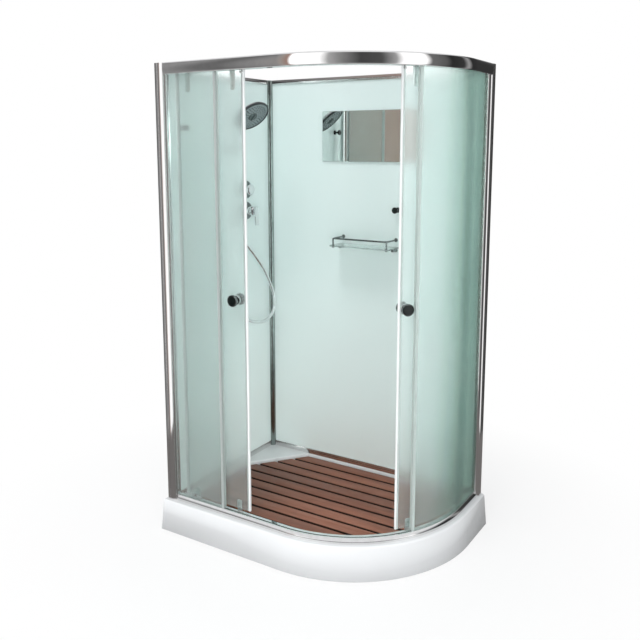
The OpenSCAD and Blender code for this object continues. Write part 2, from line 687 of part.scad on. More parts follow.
module fixed_glass_seals() color([0.88, 0.90, 0.89]) {
    z0 = foot_rail_z + 1;
    h = rail_z - 1 - z0;
    translate([left_fixed_x1, front_y, z0]) linear_extrude(h) {
        clip_seal_plan(seal_w - 4, fixed_inset);
        translate([-2, fixed_inset + glass_t + seal_t]) square([1.2, door_inset - fixed_inset - glass_t - seal_t - 5]);
    }
    round_corner(right_fixed_a - 2 / door_mid_r * 57.3, right_fixed_a + (seal_w - 4) / door_mid_r * 57.3)
        difference() {
            translate([fixed_inset - seal_t, z0]) square([glass_t + 2 * seal_t, h]);
            translate([fixed_inset - seal_gap, z0 - 1]) square([glass_t + 2 * seal_gap, h + 2]);
        }
    round_corner(right_fixed_a - 2 / door_mid_r * 57.3, right_fixed_a - 0.02)
        translate([fixed_inset - seal_t, z0]) square([glass_t + 2 * seal_t, h]);
    round_corner(right_fixed_a, right_fixed_a + 0.15)
        translate([fixed_inset + glass_t + seal_gap, z0]) square([door_inset - fixed_inset - glass_t - 5, h]);
}

module wall_mirror() color([0.62, 0.66, 0.66])
    translate([mirror_x - mirror_w / 2, wall_y - 7, mirror_z]) cube([mirror_w, 4, mirror_h]);

module mirror_pads() color([0.85, 0.86, 0.85])
    for (kx = [-1, 1]) for (kz = [0.2, 0.8])
        translate([mirror_x + kx * mirror_w * 0.4 - 20, wall_y - 3, mirror_z + kz * mirror_h - 15]) cube([40, 3, 30]);

shelf_t = 6;
post_x = shelf_w / 2 - 16;
post_y = shelf_d - 14;

module shelf_glass() color([0.75, 0.86, 0.84]) difference() {
    translate([shelf_x - shelf_w / 2, wall_y - shelf_d, shelf_z - shelf_t]) cube([shelf_w, shelf_d - 2, shelf_t]);
    for (k = [-1, 1]) translate([shelf_x + k * post_x, wall_y - post_y, shelf_z - 2 * shelf_t])
        cylinder(r = 3.1, h = 3 * shelf_t, $fn = 32);
}

// Under the glass at the wall: a round foot and an arm that carries the glass
module shelf_brackets() color([0.75, 0.76, 0.78]) for (k = [-1, 1])
    on_back_wall(shelf_x + k * post_x, shelf_z - shelf_t - 9) {
        cylinder(r = 8.5, h = 4, $fn = 64);
        cylinder(r = 6, h = 40, $fn = 48);
        translate([-6, 0, 3]) cube([12, 9, 37]);
    }

// Round bar in a U with ball corners, on two posts whose screws pass through the glass
module shelf_rail() color([0.78, 0.79, 0.80]) {
    bar_z = shelf_z + guard_h;
    for (k = [-1, 1]) {
        translate([shelf_x + k * post_x, wall_y - post_y, shelf_z]) cylinder(r = 3.6, h = guard_h, $fn = 48);
        translate([shelf_x + k * post_x, wall_y - post_y, shelf_z - shelf_t]) cylinder(r = 3, h = shelf_t + 1, $fn = 48);
        translate([shelf_x + k * post_x, wall_y - post_y, shelf_z - shelf_t - 5]) cylinder(r = 6, h = 5, $fn = 48);
        translate([shelf_x + k * post_x, wall_y - post_y, bar_z]) sphere(r = 5.2, $fn = 48);
        on_back_wall(shelf_x + k * post_x, bar_z) {
            cylinder(r = 3.8, h = post_y, $fn = 48);
            cylinder(r = 9, h = 3, $fn = 48);
        }
    }
    translate([shelf_x - post_x, wall_y - post_y, bar_z]) rotate([0, 90, 0]) cylinder(r = 4, h = 2 * post_x, $fn = 48);
}

module robe_hook() {
    rotate_extrude($fn = 64) polygon([[0, 0], [hook_r - 2, 0], [hook_r - 2, 3], [hook_r - 4, 5], [hook_r - 9, 6],
        [hook_r - 9, hook_l - 13], [hook_r - 1, hook_l - 10], [hook_r, hook_l - 7], [hook_r, hook_l - 2],
        [hook_r - 2, hook_l], [0, hook_l]]);
}

module robe_hooks() color([0.15, 0.17, 0.17]) {
    on_back_wall(hook_x, hook_z) robe_hook();
    on_left_wall(wall_y - side_hook_y, side_hook_z) robe_hook();
}

tail_l = 20;
// Brass body behind the wall with hot and cold tails, and the pipe to the hose outlet
module valve_block() color([0.72, 0.60, 0.35]) {
    depth = 26;
    on_left_wall(mixer_y, mixer_z) translate([-22, -32, -wall_t - depth]) cube([44, 64, depth]);
    on_left_wall(mixer_y, diverter_z) translate([-20, -20, -wall_t - depth]) cube([40, 40, depth]);
    for (k = [-1, 1]) on_left_wall(mixer_y, mixer_z) translate([0, 18 * k, -wall_t - depth - tail_l])
        cylinder(r = 10.5, h = tail_l + 2, $fn = 64);
    translate([wall_x - wall_t - depth / 2, wall_y - mixer_y, mixer_z + 20]) cylinder(r = 7, h = diverter_z - mixer_z - 38, $fn = 48);
    translate([wall_x - wall_t - depth / 2, wall_y - outlet_y - 8, diverter_z]) rotate([-90, 0, 0])
        cylinder(r = 7, h = outlet_y - mixer_y - 10, $fn = 48);
    translate([wall_x - wall_t - depth / 2, wall_y - outlet_y, outlet_z - 8]) cylinder(r = 7, h = diverter_z - outlet_z + 15, $fn = 48);
    on_left_wall(outlet_y, outlet_z) translate([0, 0, -wall_t - depth]) cylinder(r = 14, h = depth, $fn = 64);
}

module round_plate(r, t, bore) {
    rotate_extrude($fn = 96) polygon([[bore, 0], [r, 0], [r, t / 2], [r - 3, t], [bore, t]]);
}

plate_t = 8;
module mixer_plate() color([0.80, 0.82, 0.83]) on_left_wall(mixer_y, mixer_z) round_plate(plate_r, plate_t, mixer_r + 0.2);

module mixer_body() color([0.76, 0.78, 0.79]) on_left_wall(mixer_y, mixer_z) {
    translate([0, 0, -wall_t]) cylinder(r = 15, h = wall_t + 1, $fn = 64);
    rotate_extrude($fn = 96) polygon([[0, 0], [mixer_r, 0], [mixer_r, 30], [mixer_r - 1.5, 32], [0, 32]]);
}

cap_h = 20;
lever_w = 22;
lever_t = 6.5;
lever_l = 86;
pin_x = -12;
// Turning cap with a slot across its top and the pin that the lever tips on
module mixer_cap() color([0.76, 0.78, 0.79]) on_left_wall(mixer_y, mixer_z) translate([0, 0, 32.3]) {
    difference() {
        rotate_extrude($fn = 96) polygon([[0, 0], [mixer_r, 0], [mixer_r, cap_h - 5], [mixer_r - 5, cap_h], [0, cap_h]]);
        translate([-mixer_r - 1, -5.5, 5]) cube([mixer_r + 9, 11, cap_h]);
    }
    translate([pin_x, 0, 12]) rotate([90, 0, 0]) cylinder(r = 2.5, h = 2 * 9, center = true, $fn = 48);
}

// Tongue in the cap's slot, riser over the cap and the long paddle that hangs in front of it
module mixer_lever() color([0.78, 0.80, 0.81]) on_left_wall(mixer_y, mixer_z) translate([0, 0, 32.3]) difference() {
    union() {
        translate([pin_x - 5, -5.2, 8]) cube([23, 10.4, 14]);
        translate([pin_x - 2, -lever_w / 2, cap_h + 1.2]) cube([11, lever_w, 8]);
        translate([pin_x - 8, -lever_w / 2, cap_h + 7.2]) cube([lever_l, lever_w, lever_t]);
    }
    translate([pin_x, 0, 12]) rotate([90, 0, 0]) cylinder(r = 2.55, h = 40, center = true, $fn = 48);
}

module diverter_plate() color([0.80, 0.82, 0.83]) on_left_wall(mixer_y, diverter_z) {
    round_plate(plate_r, plate_t, 0.001);
    translate([0, 0, -wall_t]) cylinder(r = 12, h = wall_t + 1, $fn = 64);
    cylinder(r = 8, h = 20, $fn = 64);
}

module diverter_knob() color([0.76, 0.78, 0.79]) on_left_wall(mixer_y, diverter_z) difference() {
    union() {
        rotate_extrude($fn = 96) translate([0, plate_t + 0.3])
            polygon([[0, 0], [diverter_r - 3, 0], [diverter_r, 3], [diverter_r, 24], [diverter_r - 3, 28], [0, 28]]);
        translate([-diverter_r - 3, -3, plate_t + 10]) cube([8, 6, 16]);
    }
    cylinder(r = 8.05, h = 21, $fn = 64);
}

module hose_outlet() color([0.78, 0.80, 0.81]) {
    on_left_wall(outlet_y, outlet_z) {
        round_plate(22, 5, 0.001);
        translate([0, 0, -wall_t]) cylinder(r = 10, h = wall_t + outlet_out, $fn = 64);
        translate([0, 0, outlet_out]) sphere(r = 10, $fn = 64);
    }
    translate(outlet_at) cylinder(r = 9, h = 20, $fn = 64);
}

// Wall foot, arm and a ring with a slot at the front that the handle drops into
module handset_holder() color([0.78, 0.80, 0.81]) difference() {
    union() {
        on_left_wall(holder_y, holder_z) {
            round_plate(24, 6, 0.001);
            cylinder(r = 10, h = holder_out - 12, $fn = 64);
        }
        on_handset() translate([0, 0, -ring_h / 2]) cylinder(r = handle_r + 6, h = ring_h, $fn = 96);
    }
    on_handset() {
        cylinder(r = handle_r + 0.1, h = 6 * ring_h, center = true, $fn = 96);
        translate([0, -8, -ring_h]) cube([handle_r + 20, 16, 2 * ring_h]);
    }
}

// Handle, bend, neck and domed head in one moulding: the neck runs up behind the face
module handset_body() color([0.74, 0.77, 0.78]) {
    on_handset() rotate_extrude($fn = 96) polygon([[0, -handle_foot], [handle_r - 1, -handle_foot],
        [handle_r, -handle_foot + 2], [handle_r, ring_h / 2 + 0.3], [handle_r + 4, ring_h / 2 + 0.3],
        [handle_r + 4.5, ring_h / 2 + 6], [neck_r, 50], [neck_r, bend_up], [0, bend_up]]);
    on_head() {
        translate([head_r, 0, -neck_back]) sphere(r = neck_r, $fn = 96);
        translate([head_r, 0, -neck_back]) rotate([0, -90, 0]) cylinder(r = neck_r - 0.4, h = 50, $fn = 96);
        rotate_extrude($fn = 128) polygon([[0, 4], [head_r - 2, 4], [head_r, 2], [head_r, -3],
            [head_r - 4, -9], [head_r - 18, -16], [head_r - 40, -22], [20, -27], [0, -28]]);
    }
}

selector_r = 22;
module handset_face() color([0.48, 0.54, 0.54]) on_head() difference() {
    rotate_extrude($fn = 128) polygon([[0, 4.2], [head_r - 4, 4.2], [head_r - 4, 6], [head_r - 7, 7.4], [0, 8.4]]);
    cylinder(r = selector_r + 0.3, h = 40, center = true, $fn = 96);
}

module spray_selector() color([0.35, 0.40, 0.40]) on_head() {
    rotate_extrude($fn = 96) polygon([[0, 4.3], [selector_r, 4.3], [selector_r, 9], [selector_r - 2, 11], [0, 11]]);
    translate([-selector_r + 4, -3, 10]) cube([2 * selector_r - 8, 6, 5]);
}

// Tube swept along the hose's line
hose_sides = 10;
function hose_dir(i) = i == 0 ? [0, 0, -1]
    : i == len(hose_line) - 1 ? handle_axis
    : unit(hose_line[i + 1] - hose_line[i - 1]);
function hose_ring(i) =
    let (d = hose_dir(i), u = unit(cross(d, [1, 0, 0])), v = cross(d, u))
    [for (k = [0:hose_sides - 1]) hose_line[i] + hose_d / 2 * (u * cos(360 * k / hose_sides) + v * sin(360 * k / hose_sides))];

module shower_hose() color([0.80, 0.82, 0.83]) {
    n = len(hose_line);
    s = hose_sides;
    points = [for (i = [0:n - 1]) each hose_ring(i)];
    sides = [for (i = [0:n - 2]) for (k = [0:s - 1]) each [
        [i * s + k, (i + 1) * s + k, i * s + (k + 1) % s],
        [i * s + (k + 1) % s, (i + 1) * s + k, (i + 1) * s + (k + 1) % s]]];
    ends = concat([for (k = [1:s - 2]) [0, k, k + 1]],
        [for (k = [1:s - 2]) [(n - 1) * s, (n - 1) * s + k + 1, (n - 1) * s + k]]);
    polyhedron(points = points, faces = concat(sides, ends));
}

module hose_nuts() color([0.78, 0.80, 0.81]) {
    translate(hose_start) cylinder(r = 10, h = nut_l, $fn = 6);
    on_handset() translate([0, 0, -handle_foot - nut_l])
        rotate_extrude($fn = 64) polygon([[0, 0], [8.5, 0], [handle_r - 0.5, nut_l - 6], [handle_r - 0.5, nut_l], [0, nut_l]]);
}

// Parts of a door, drawn at a door's inner face: x along the door, y inwards
module door_knob_discs() {
    translate([0, -glass_t - stem_l, knob_z]) rotate([90, 0, 0]) knob_disc();
    translate([0, stem_l, knob_z]) rotate([-90, 0, 0]) knob_disc();
}
module knob_disc() {
    rotate_extrude($fn = 96) polygon([[0, 0], [knob_r - 4, 0], [knob_r - 1, 2], [knob_r, 5], [knob_r, knob_t - 6],
        [knob_r - 3, knob_t - 2], [knob_r - 9, knob_t], [0, knob_t]]);
}
module door_knob_stem() {
    translate([0, 0, knob_z]) rotate([90, 0, 0]) {
        translate([0, 0, glass_t]) rotate_extrude($fn = 64) polygon([[0, 0], [stem_r + 4, 0], [stem_r + 4, 2], [stem_r, 4],
            [stem_r, stem_l], [0, stem_l]]);
        mirror([0, 0, 1]) rotate_extrude($fn = 64) polygon([[0, 0], [stem_r + 4, 0], [stem_r + 4, 2],
            [stem_r, 4], [stem_r, stem_l], [0, stem_l]]);
        translate([0, 0, -1]) cylinder(r = 4, h = glass_t + 2, $fn = 48);
    }
}
plate_w = 24;
module hanger(z_axle, z_low, z_high, bolt_zs) {
    translate([-plate_w / 2, seat_gap, z_low]) cube([plate_w, 3, z_high - z_low]);
    translate([0, 0, z_axle]) rotate([90, 0, 0]) {
        translate([0, 0, -seat_gap - 1]) cylinder(r = axle_r, h = wheel_out + 1 + seat_gap, $fn = 64);
        translate([0, 0, wheel_out - 1.2]) cylinder(r = axle_r + 1.5, h = 1.2, $fn = 64);
        translate([0, 0, -seat_gap - 1]) cylinder(r = axle_r + 2, h = wheel_out - wheel_w - 0.7 - 1.2, $fn = 64);
    }
    for (z = bolt_zs) translate([0, 0, z]) rotate([90, 0, 0]) {
        translate([0, 0, -seat_gap - 1]) cylinder(r = 4, h = glass_t + seat_gap + 2, $fn = 48);
        translate([0, 0, glass_t + seat_gap]) cylinder(r = 8, h = 2.5, $fn = 48);
        translate([0, 0, -seat_gap - 3 - 3]) cylinder(r = 7, h = 4, $fn = 48);
    }
}
top_bolts = [door_z1 - 20, door_z1 - 45];
low_bolts = [door_z0 + 20];
module hangers() {
    hanger(top_axle_z, door_z1 - 60, cabin_h - 16, top_bolts);
    hanger(low_axle_z, tray_h + 4, door_z0 + 34, low_bolts);
}
module hanger_holes() { for (z = concat(top_bolts, low_bolts)) translate([0, 0, z]) bolt_hole(4.2); }
module wheel(z, r) {
    translate([0, -wheel_out + 1.5, z]) rotate([-90, 0, 0]) rotate_extrude($fn = 96)
        polygon([[axle_r + axle_gap, 0], [r - 1, 0], [r, 1], [r, wheel_w - 1], [r - 1, wheel_w], [axle_r + axle_gap, wheel_w]]);
}

module left_door_glass() color([0.72, 0.83, 0.80]) difference() {
    translate([left_door_x0 + 3, front_y + door_inset, door_z0]) cube([left_door_w - 6, glass_t, door_z1 - door_z0]);
    on_left_door(left_knob_x) translate([0, 0, knob_z]) bolt_hole(4.2);
    on_left_door(front_hanger_x) hanger_holes();
    on_left_door(rear_hanger_x) hanger_holes();
}

module left_door_seals() color([0.93, 0.95, 0.95]) for (k = [0, 1])
    translate([k == 0 ? left_door_x0 : left_door_x1, front_y, door_z0]) linear_extrude(door_z1 - door_z0)
        mirror([1 - k, 0]) difference() {
            translate([-seal_w, door_inset - seal_t]) square([seal_w, glass_t + 2 * seal_t]);
            translate([-seal_w - 1, door_inset]) square([seal_w - 2, glass_t]);
        }

module left_door_knobs() color([0.10, 0.12, 0.12]) on_left_door(left_knob_x) door_knob_discs();
module left_door_stems() color([0.80, 0.81, 0.82]) on_left_door(left_knob_x) door_knob_stem();

// Grey stop block at the top of a door's leading edge
module stop_block() { translate([-2, -glass_t - 8, door_z1 + 0.3]) cube([12, glass_t + 14, door_top_gap - 2]); }

module left_door_brackets() color([0.70, 0.72, 0.73]) {
    on_left_door(front_hanger_x) hangers();
    on_left_door(rear_hanger_x) hangers();
    on_left_door(left_door_x1 - 14) stop_block();
}
module left_top_wheel_front() color([0.88, 0.89, 0.90]) on_left_door(front_hanger_x) wheel(top_axle_z, top_wheel_r);
module left_top_wheel_rear() color([0.88, 0.89, 0.90]) on_left_door(rear_hanger_x) wheel(top_axle_z, top_wheel_r);
module left_low_wheel_front() color([0.88, 0.89, 0.90]) on_left_door(front_hanger_x) wheel(low_axle_z, low_wheel_r);
module left_low_wheel_rear() color([0.88, 0.89, 0.90]) on_left_door(rear_hanger_x) wheel(low_axle_z, low_wheel_r);

seal_gap = 0.15;
edge_a = 3 / door_mid_r * 180 / PI;
module right_door_glass() color([0.72, 0.83, 0.80]) difference() {
    round_corner(right_door_a + edge_a, right_door_a1 - edge_a)
        translate([door_inset, door_z0]) square([glass_t, door_z1 - door_z0]);
    on_right_door(right_knob_a) translate([0, 0, knob_z]) bolt_hole(4.2);
    on_right_door(front_hanger_a) hanger_holes();
    on_right_door(rear_hanger_a) hanger_holes();
}

module right_door_seals() color([0.93, 0.95, 0.95]) for (k = [0, 1]) difference() {
    a = k == 0 ? right_door_a : right_door_a1 - seal_a;
    round_corner(a, a + seal_a)
        translate([door_inset - seal_t, door_z0]) square([glass_t + 2 * seal_t, door_z1 - door_z0]);
    round_corner(a + (k == 0 ? edge_a - 0.02 : -1), a + seal_a + (k == 0 ? 1 : 0.02 - edge_a))
        translate([door_inset - seal_gap, door_z0 - 1]) square([glass_t + 2 * seal_gap, door_z1 - door_z0 + 2]);
}

module right_door_knobs() color([0.10, 0.12, 0.12]) on_right_door(right_knob_a) door_knob_discs();
module right_door_stems() color([0.80, 0.81, 0.82]) on_right_door(right_knob_a) door_knob_stem();
module right_door_brackets() color([0.70, 0.72, 0.73]) {
    on_right_door(front_hanger_a) hangers();
    on_right_door(rear_hanger_a) hangers();
    on_right_door(right_door_a + 14 / door_mid_r * 180 / PI) mirror([1, 0, 0]) stop_block();
}
module right_top_wheel_front() color([0.88, 0.89, 0.90]) on_right_door(front_hanger_a) wheel(top_axle_z, top_wheel_r);
module right_top_wheel_rear() color([0.88, 0.89, 0.90]) on_right_door(rear_hanger_a) wheel(top_axle_z, top_wheel_r);
module right_low_wheel_front() color([0.88, 0.89, 0.90]) on_right_door(front_hanger_a) wheel(low_axle_z, low_wheel_r);
module right_low_wheel_rear() color([0.88, 0.89, 0.90]) on_right_door(rear_hanger_a) wheel(low_axle_z, low_wheel_r);

echo(hose_length = hose_length, left_travel = left_travel, right_travel_a = right_travel_a, meet_a = meet_a);
echo(front_hanger_a = front_hanger_a, rear_hanger_a = rear_hanger_a, right_door_a1 = right_door_a1);
echo(front_hanger_x = front_hanger_x, rear_hanger_x = rear_hanger_x, top_axle_z = top_axle_z, low_axle_z = low_axle_z);

tray();
tray_frame();
tray_feet();
drain_trap();
drain_grate();
deck_slats();
deck_battens();
left_wall();
back_wall();
corner_profile();
wall_trims();
left_end_profile();
right_end_profile();
top_rail();
bottom_rail();
rail_brackets();
frame_screws();
left_fixed_glass();
right_fixed_glass();
fixed_glass_seals();
wall_mirror();
mirror_pads();
shelf_glass();
shelf_brackets();
shelf_rail();
robe_hooks();
valve_block();
mixer_plate();
mixer_body();
mixer_cap();
mixer_lever();
diverter_plate();
diverter_knob();
hose_outlet();
handset_holder();
handset_body();
handset_face();
spray_selector();
shower_hose();
hose_nuts();
left_door_glass();
left_door_seals();
left_door_knobs();
left_door_stems();
left_door_brackets();
left_top_wheel_front();
left_top_wheel_rear();
left_low_wheel_front();
left_low_wheel_rear();
right_door_glass();
right_door_seals();
right_door_knobs();
right_door_stems();
right_door_brackets();
right_top_wheel_front();
right_top_wheel_rear();
right_low_wheel_front();
right_low_wheel_rear();
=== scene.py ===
import math

import bmesh
import bpy
from mathutils import Matrix, Vector


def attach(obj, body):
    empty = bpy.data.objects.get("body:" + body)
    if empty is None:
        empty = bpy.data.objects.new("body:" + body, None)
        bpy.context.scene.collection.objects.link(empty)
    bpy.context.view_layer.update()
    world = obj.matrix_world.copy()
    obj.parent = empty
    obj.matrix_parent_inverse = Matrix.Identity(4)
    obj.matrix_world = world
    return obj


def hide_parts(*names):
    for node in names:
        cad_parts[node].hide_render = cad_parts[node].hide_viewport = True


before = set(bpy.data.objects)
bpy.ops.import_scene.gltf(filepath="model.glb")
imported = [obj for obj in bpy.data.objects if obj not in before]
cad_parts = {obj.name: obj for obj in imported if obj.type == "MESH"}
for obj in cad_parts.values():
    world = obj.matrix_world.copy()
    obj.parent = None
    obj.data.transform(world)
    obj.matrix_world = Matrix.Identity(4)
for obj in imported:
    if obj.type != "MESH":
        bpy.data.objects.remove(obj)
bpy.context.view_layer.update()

scene = bpy.context.scene
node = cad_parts

# Viewpoint: the photographer stood to the right of the doorway, a little above the door knobs,
# and looked slightly down. The place was worked out from the cabin's outline in the photograph.
viewpoint = bpy.data.objects.new("viewpoint", bpy.data.cameras.new("viewpoint"))
scene.collection.objects.link(viewpoint)
viewpoint.location = (1.6404, -2.6698, 1.6687)
viewpoint.rotation_euler = (math.pi / 2 - 0.1566, 0, 0.558)
viewpoint.data.sensor_width = 36
viewpoint.data.lens = 42.44
viewpoint.data.shift_y = -0.085
scene.camera = viewpoint

# Shower hose: a 14 mm tube wound from chromed steel strip, so that it has fine ribs all along.
# It leaves the wall outlet downwards, hangs in one loop and runs up into the handset's handle.
wall_x, wall_y, outlet_z = -0.545, 0.370, 1.320
handle_axis = Vector((0.13705, -0.02417, 0.99027))
holder_at = Vector((-0.481, 0.049, 1.655))
hose_end = holder_at - 0.048 * handle_axis
hose_start = Vector((-0.517, 0.108, 1.28))
hose_d = 0.014
from_left_back_outlet = (
    (28, 259, -76), (31, 250, -95), (37, 224, -127), (43, 195, -161), (54, 142, -230), (64, 98, -312),
    (72, 76, -388), (77, 94, -446), (78, 152, -479), (76, 227, -476), (73, 296, -449), (69, 350, -396),
    (66, 381, -323), (63, 395, -230), (59, 390, -108), (55, 370, 22), (52, 345, 145), (53, 327, 222),
    (54, 322, 252))
hose_route = [hose_start, hose_start - Vector((0, 0, 0.016))]
hose_route += [Vector((wall_x + x / 1000, wall_y - y / 1000, outlet_z + z / 1000))
               for x, y, z in from_left_back_outlet]
hose_route += [hose_end - 0.016 * handle_axis, hose_end]


def hanging_line(route, steps=40):
    """A smooth line through the route's points."""
    line = []
    for i in range(len(route) - 1):
        a, b, c, d = (route[min(max(k, 0), len(route) - 1)] for k in (i - 1, i, i + 1, i + 2))
        for k in range(steps):
            t = k / steps
            line.append(0.5 * (2 * b + (c - a) * t + (2 * a - 5 * b + 4 * c - d) * t ** 2
                               + (3 * b - a - 3 * c + d) * t ** 3))
    return line + [route[-1]]


def evenly(line, step):
    """Points at one spacing along the line, and the line's length."""
    out, left, total = [line[0]], step, 0.0
    for a, b in zip(line, line[1:]):
        gap = (b - a).length
        total += gap
        while gap >= left:
            a = a + (b - a) * (left / gap)
            gap -= left
            out.append(a)
            left = step
        left -= gap
    return out, total


def new_verts(result):
    """The corners that an extrusion made."""
    return [g for g in result["geom"] if isinstance(g, bmesh.types.BMVert)]


def front_edges(result):
    """The edges at the far side of an extrusion."""
    fresh = set(new_verts(result))
    return [g for g in result["geom"] if isinstance(g, bmesh.types.BMEdge) and set(g.verts) <= fresh]


def edges_of(verts):
    """The edges at some corners, each once and always in the same order."""
    return list(dict.fromkeys(e for v in verts for e in v.link_edges))


def capped(bm, *ends):
    """Closes the open ends of a tube, a bar or an extrusion."""
    for end in ends:
        bmesh.ops.edgeloop_fill(bm, edges=end)


def shading(name):
    """A new finish, its node tree and its surface shader."""
    m = bpy.data.materials.new(name)
    m.use_nodes = True
    return m, m.node_tree, m.node_tree.nodes["Principled BSDF"]


def fed(tree, shader, values):
    """Gives a node's sockets numbers, colours or other nodes' results."""
    for socket, value in values.items():
        if isinstance(value, bpy.types.NodeSocket):
            tree.links.new(value, shader.inputs[socket])
        else:
            shader.inputs[socket].default_value = value


def added(tree, kind, values=None):
    """A new node, its sockets set."""
    shader = tree.nodes.new("ShaderNode" + kind)
    fed(tree, shader, values or {})
    return shader


def speckle(tree, scale, detail=4.0, stretch=(1, 1, 1), contrast=0.5):
    """Fine irregularity that stays on the piece: noise on its own coordinates, drawn out along an axis."""
    place = added(tree, "TexCoord").outputs["Object"]
    drawn = added(tree, "Mapping", {"Scale": stretch, "Vector": place}).outputs["Vector"]
    fine = added(tree, "TexNoise", {"Scale": scale, "Detail": detail, "Roughness": contrast, "Vector": drawn})
    return fine.outputs["Fac"]


def tones(tree, amount, stops):
    """Colours or strengths between which a surface varies."""
    ramp = added(tree, "ValToRGB", {"Fac": amount})
    band = ramp.color_ramp
    for i, (at, colour) in enumerate(stops):
        stop = band.elements[i] if i < 2 else band.elements.new(at)
        stop.position = at
        stop.color = (*colour, 1) if hasattr(colour, "__len__") else (colour, colour, colour, 1)
    return ramp.outputs["Color"]


def relief(tree, surface, height, strength, depth):
    """Small bumps, depth in metres."""
    bump = added(tree, "Bump", {"Strength": strength, "Distance": depth, "Height": height})
    fed(tree, surface, {"Normal": bump.outputs["Normal"]})


def plated(name, light, dark, gloss, brushed=(1, 1, 1), scale=90, marks=0.08):
    """Plated or polished metal with faint brushing and uneven gloss."""
    m, tree, surface = shading(name)
    fine = speckle(tree, scale, 6, brushed)
    uneven = tones(tree, speckle(tree, 9, 3), [(0.35, gloss), (0.7, gloss + 0.04)])
    fed(tree, surface, {"Base Color": tones(tree, fine, [(0.3, dark), (0.7, light)]),
                        "Roughness": uneven, "Metallic": 1.0})
    relief(tree, surface, fine, marks, 0.0002)
    return m


def finished(bm, name, finish, body, stands_for=(), crease=32):
    """Ends a piece: outward faces, smooth shading with creases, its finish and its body."""
    bmesh.ops.recalc_face_normals(bm, faces=bm.faces)
    mesh = bpy.data.meshes.new(name)
    bm.to_mesh(mesh)
    bm.free()
    mesh.shade_smooth()
    mesh.set_sharp_from_angle(angle=math.radians(crease))
    mesh.materials.append(finish)
    piece = bpy.data.objects.new(name, mesh)
    scene.collection.objects.link(piece)
    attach(piece, body)
    if stands_for:
        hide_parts(*stands_for)
    return piece


chrome = plated("bright_chrome", (0.83, 0.84, 0.85), (0.76, 0.77, 0.78), 0.07)
rib, groove_share, downwards = 0.0018, 0.9, Vector((0, 0, -1))
hose_points, hose_length = evenly(hanging_line(hose_route), rib)
if (hose_points[-1] - hose_end).length < rib / 2:
    hose_points.pop()
hose_points.append(hose_end)
bm = bmesh.new()
ring = bmesh.ops.create_circle(bm, segments=14, radius=1.0, cap_ends=False)["verts"]
first_ring = ring_edges = edges_of(ring)
before, turn = Matrix(), Vector((0, 0, 1)).rotation_difference(downwards)
heading = downwards
for i, p in enumerate(hose_points):
    ahead = hose_points[min(i + 1, len(hose_points) - 1)] - hose_points[max(i - 1, 0)]
    ahead = (downwards if i == 0 else ahead).normalized()
    turn = heading.rotation_difference(ahead) @ turn
    heading = ahead
    radius = hose_d / 2 * (1.0 if i % 2 else groove_share)
    here = Matrix.Translation(p) @ turn.to_matrix().to_4x4() @ Matrix.Scale(radius, 4)
    if i:
        step = bmesh.ops.extrude_edge_only(bm, edges=ring_edges)
        ring, ring_edges = new_verts(step), front_edges(step)
    bmesh.ops.transform(bm, matrix=here @ before.inverted(), verts=ring)
    before = here
capped(bm, first_ring, ring_edges)
hose = finished(bm, "shower_hose_ribbed", chrome, "cabin", ["shower_hose"], crease=80)

# Tray: one vacuum-formed acrylic shell, 5 mm thick and glossy. Its rim carries the walls and the
# rails, its skirt flares out to the floor, and the basin has a ledge across the rear left corner.
front_y, right_x, left_x = -0.375, 0.575, -0.583
arc_x, arc_y, corner_r = 0.025, 0.175, 0.550
tray_h, tray_wall, rim_lip, rim_left, rim_back = 0.140, 0.005, 0.012, -0.592, 0.400
basin_floor, rim_w, basin_left, basin_back = 0.085, 0.062, -0.530, 0.365
ledge_x, ledge_y = 0.208, 0.270
waste, waste_r = Vector((-0.3, 0.12, 0)), 0.045
skirt_end_y, skirt_out, skirt_out_left, flange_h = -0.225, 0.013, 0.008, 0.040
at_left, at_back = rim_left + 0.002, rim_back - 0.001


def ring_of(bm, corners):
    """A closed loop of edges through a few corners."""
    verts = [bm.verts.new(c) for c in corners]
    return verts, [bm.edges.new((a, b)) for a, b in zip(verts, verts[1:] + verts[:1])]


def swept(bm, geom, centre, angle, steps):
    """Carries corners and edges round an upright line, and gives the last ones that it makes."""
    last = bmesh.ops.spin(bm, geom=geom, cent=centre, axis=(0, 0, 1), dvec=(0, 0, 0), angle=angle, steps=steps,
                          use_merge=False, use_normal_flip=False, use_duplicate=False)["geom_last"]
    return [[g for g in last if isinstance(g, kind)] for kind in (bmesh.types.BMVert, bmesh.types.BMEdge)]


def pushed(bm, edges, by):
    """Draws edges out straight, and gives the corners and edges at the far side."""
    step = bmesh.ops.extrude_edge_only(bm, edges=edges)
    bmesh.ops.translate(bm, vec=by, verts=new_verts(step))
    return new_verts(step), front_edges(step)


def round_front(bm, inset, z, left, back, cut=None, steps=48):
    """The outline of the cabin's plan, drawn in from the rail's face: a spun corner, and straight sides."""
    start = bm.verts.new((arc_x, front_y + inset, z))
    last = swept(bm, [start], (arc_x, arc_y, z), math.pi / 2, steps)[0][0]
    corners = [(right_x - inset, back, z)]
    corners += [(left, back, z)] if cut is None else [(left + cut[0], back, z), (left, back - cut[1], z)]
    corners += [(left, front_y + inset, z)]
    verts = [last] + [bm.verts.new(c) for c in corners] + [start]
    straight = [bm.edges.new(pair) for pair in zip(verts, verts[1:])]
    chain, here, came = [], start, None
    while True:
        onward = [e for e in here.link_edges if (e != came if came else e not in straight)][0]
        chain.append(onward)
        here, came = onward.other_vert(here), onward
        if here == start:
            return chain


def rounded(bm, edges, width, steps):
    """Rounds edges, and gives the faces that this makes."""
    return bmesh.ops.bevel(bm, geom=edges, offset=width, offset_type="OFFSET", segments=steps, profile=0.5,
                           affect="EDGES", material=-1, clamp_overlap=True)["faces"]


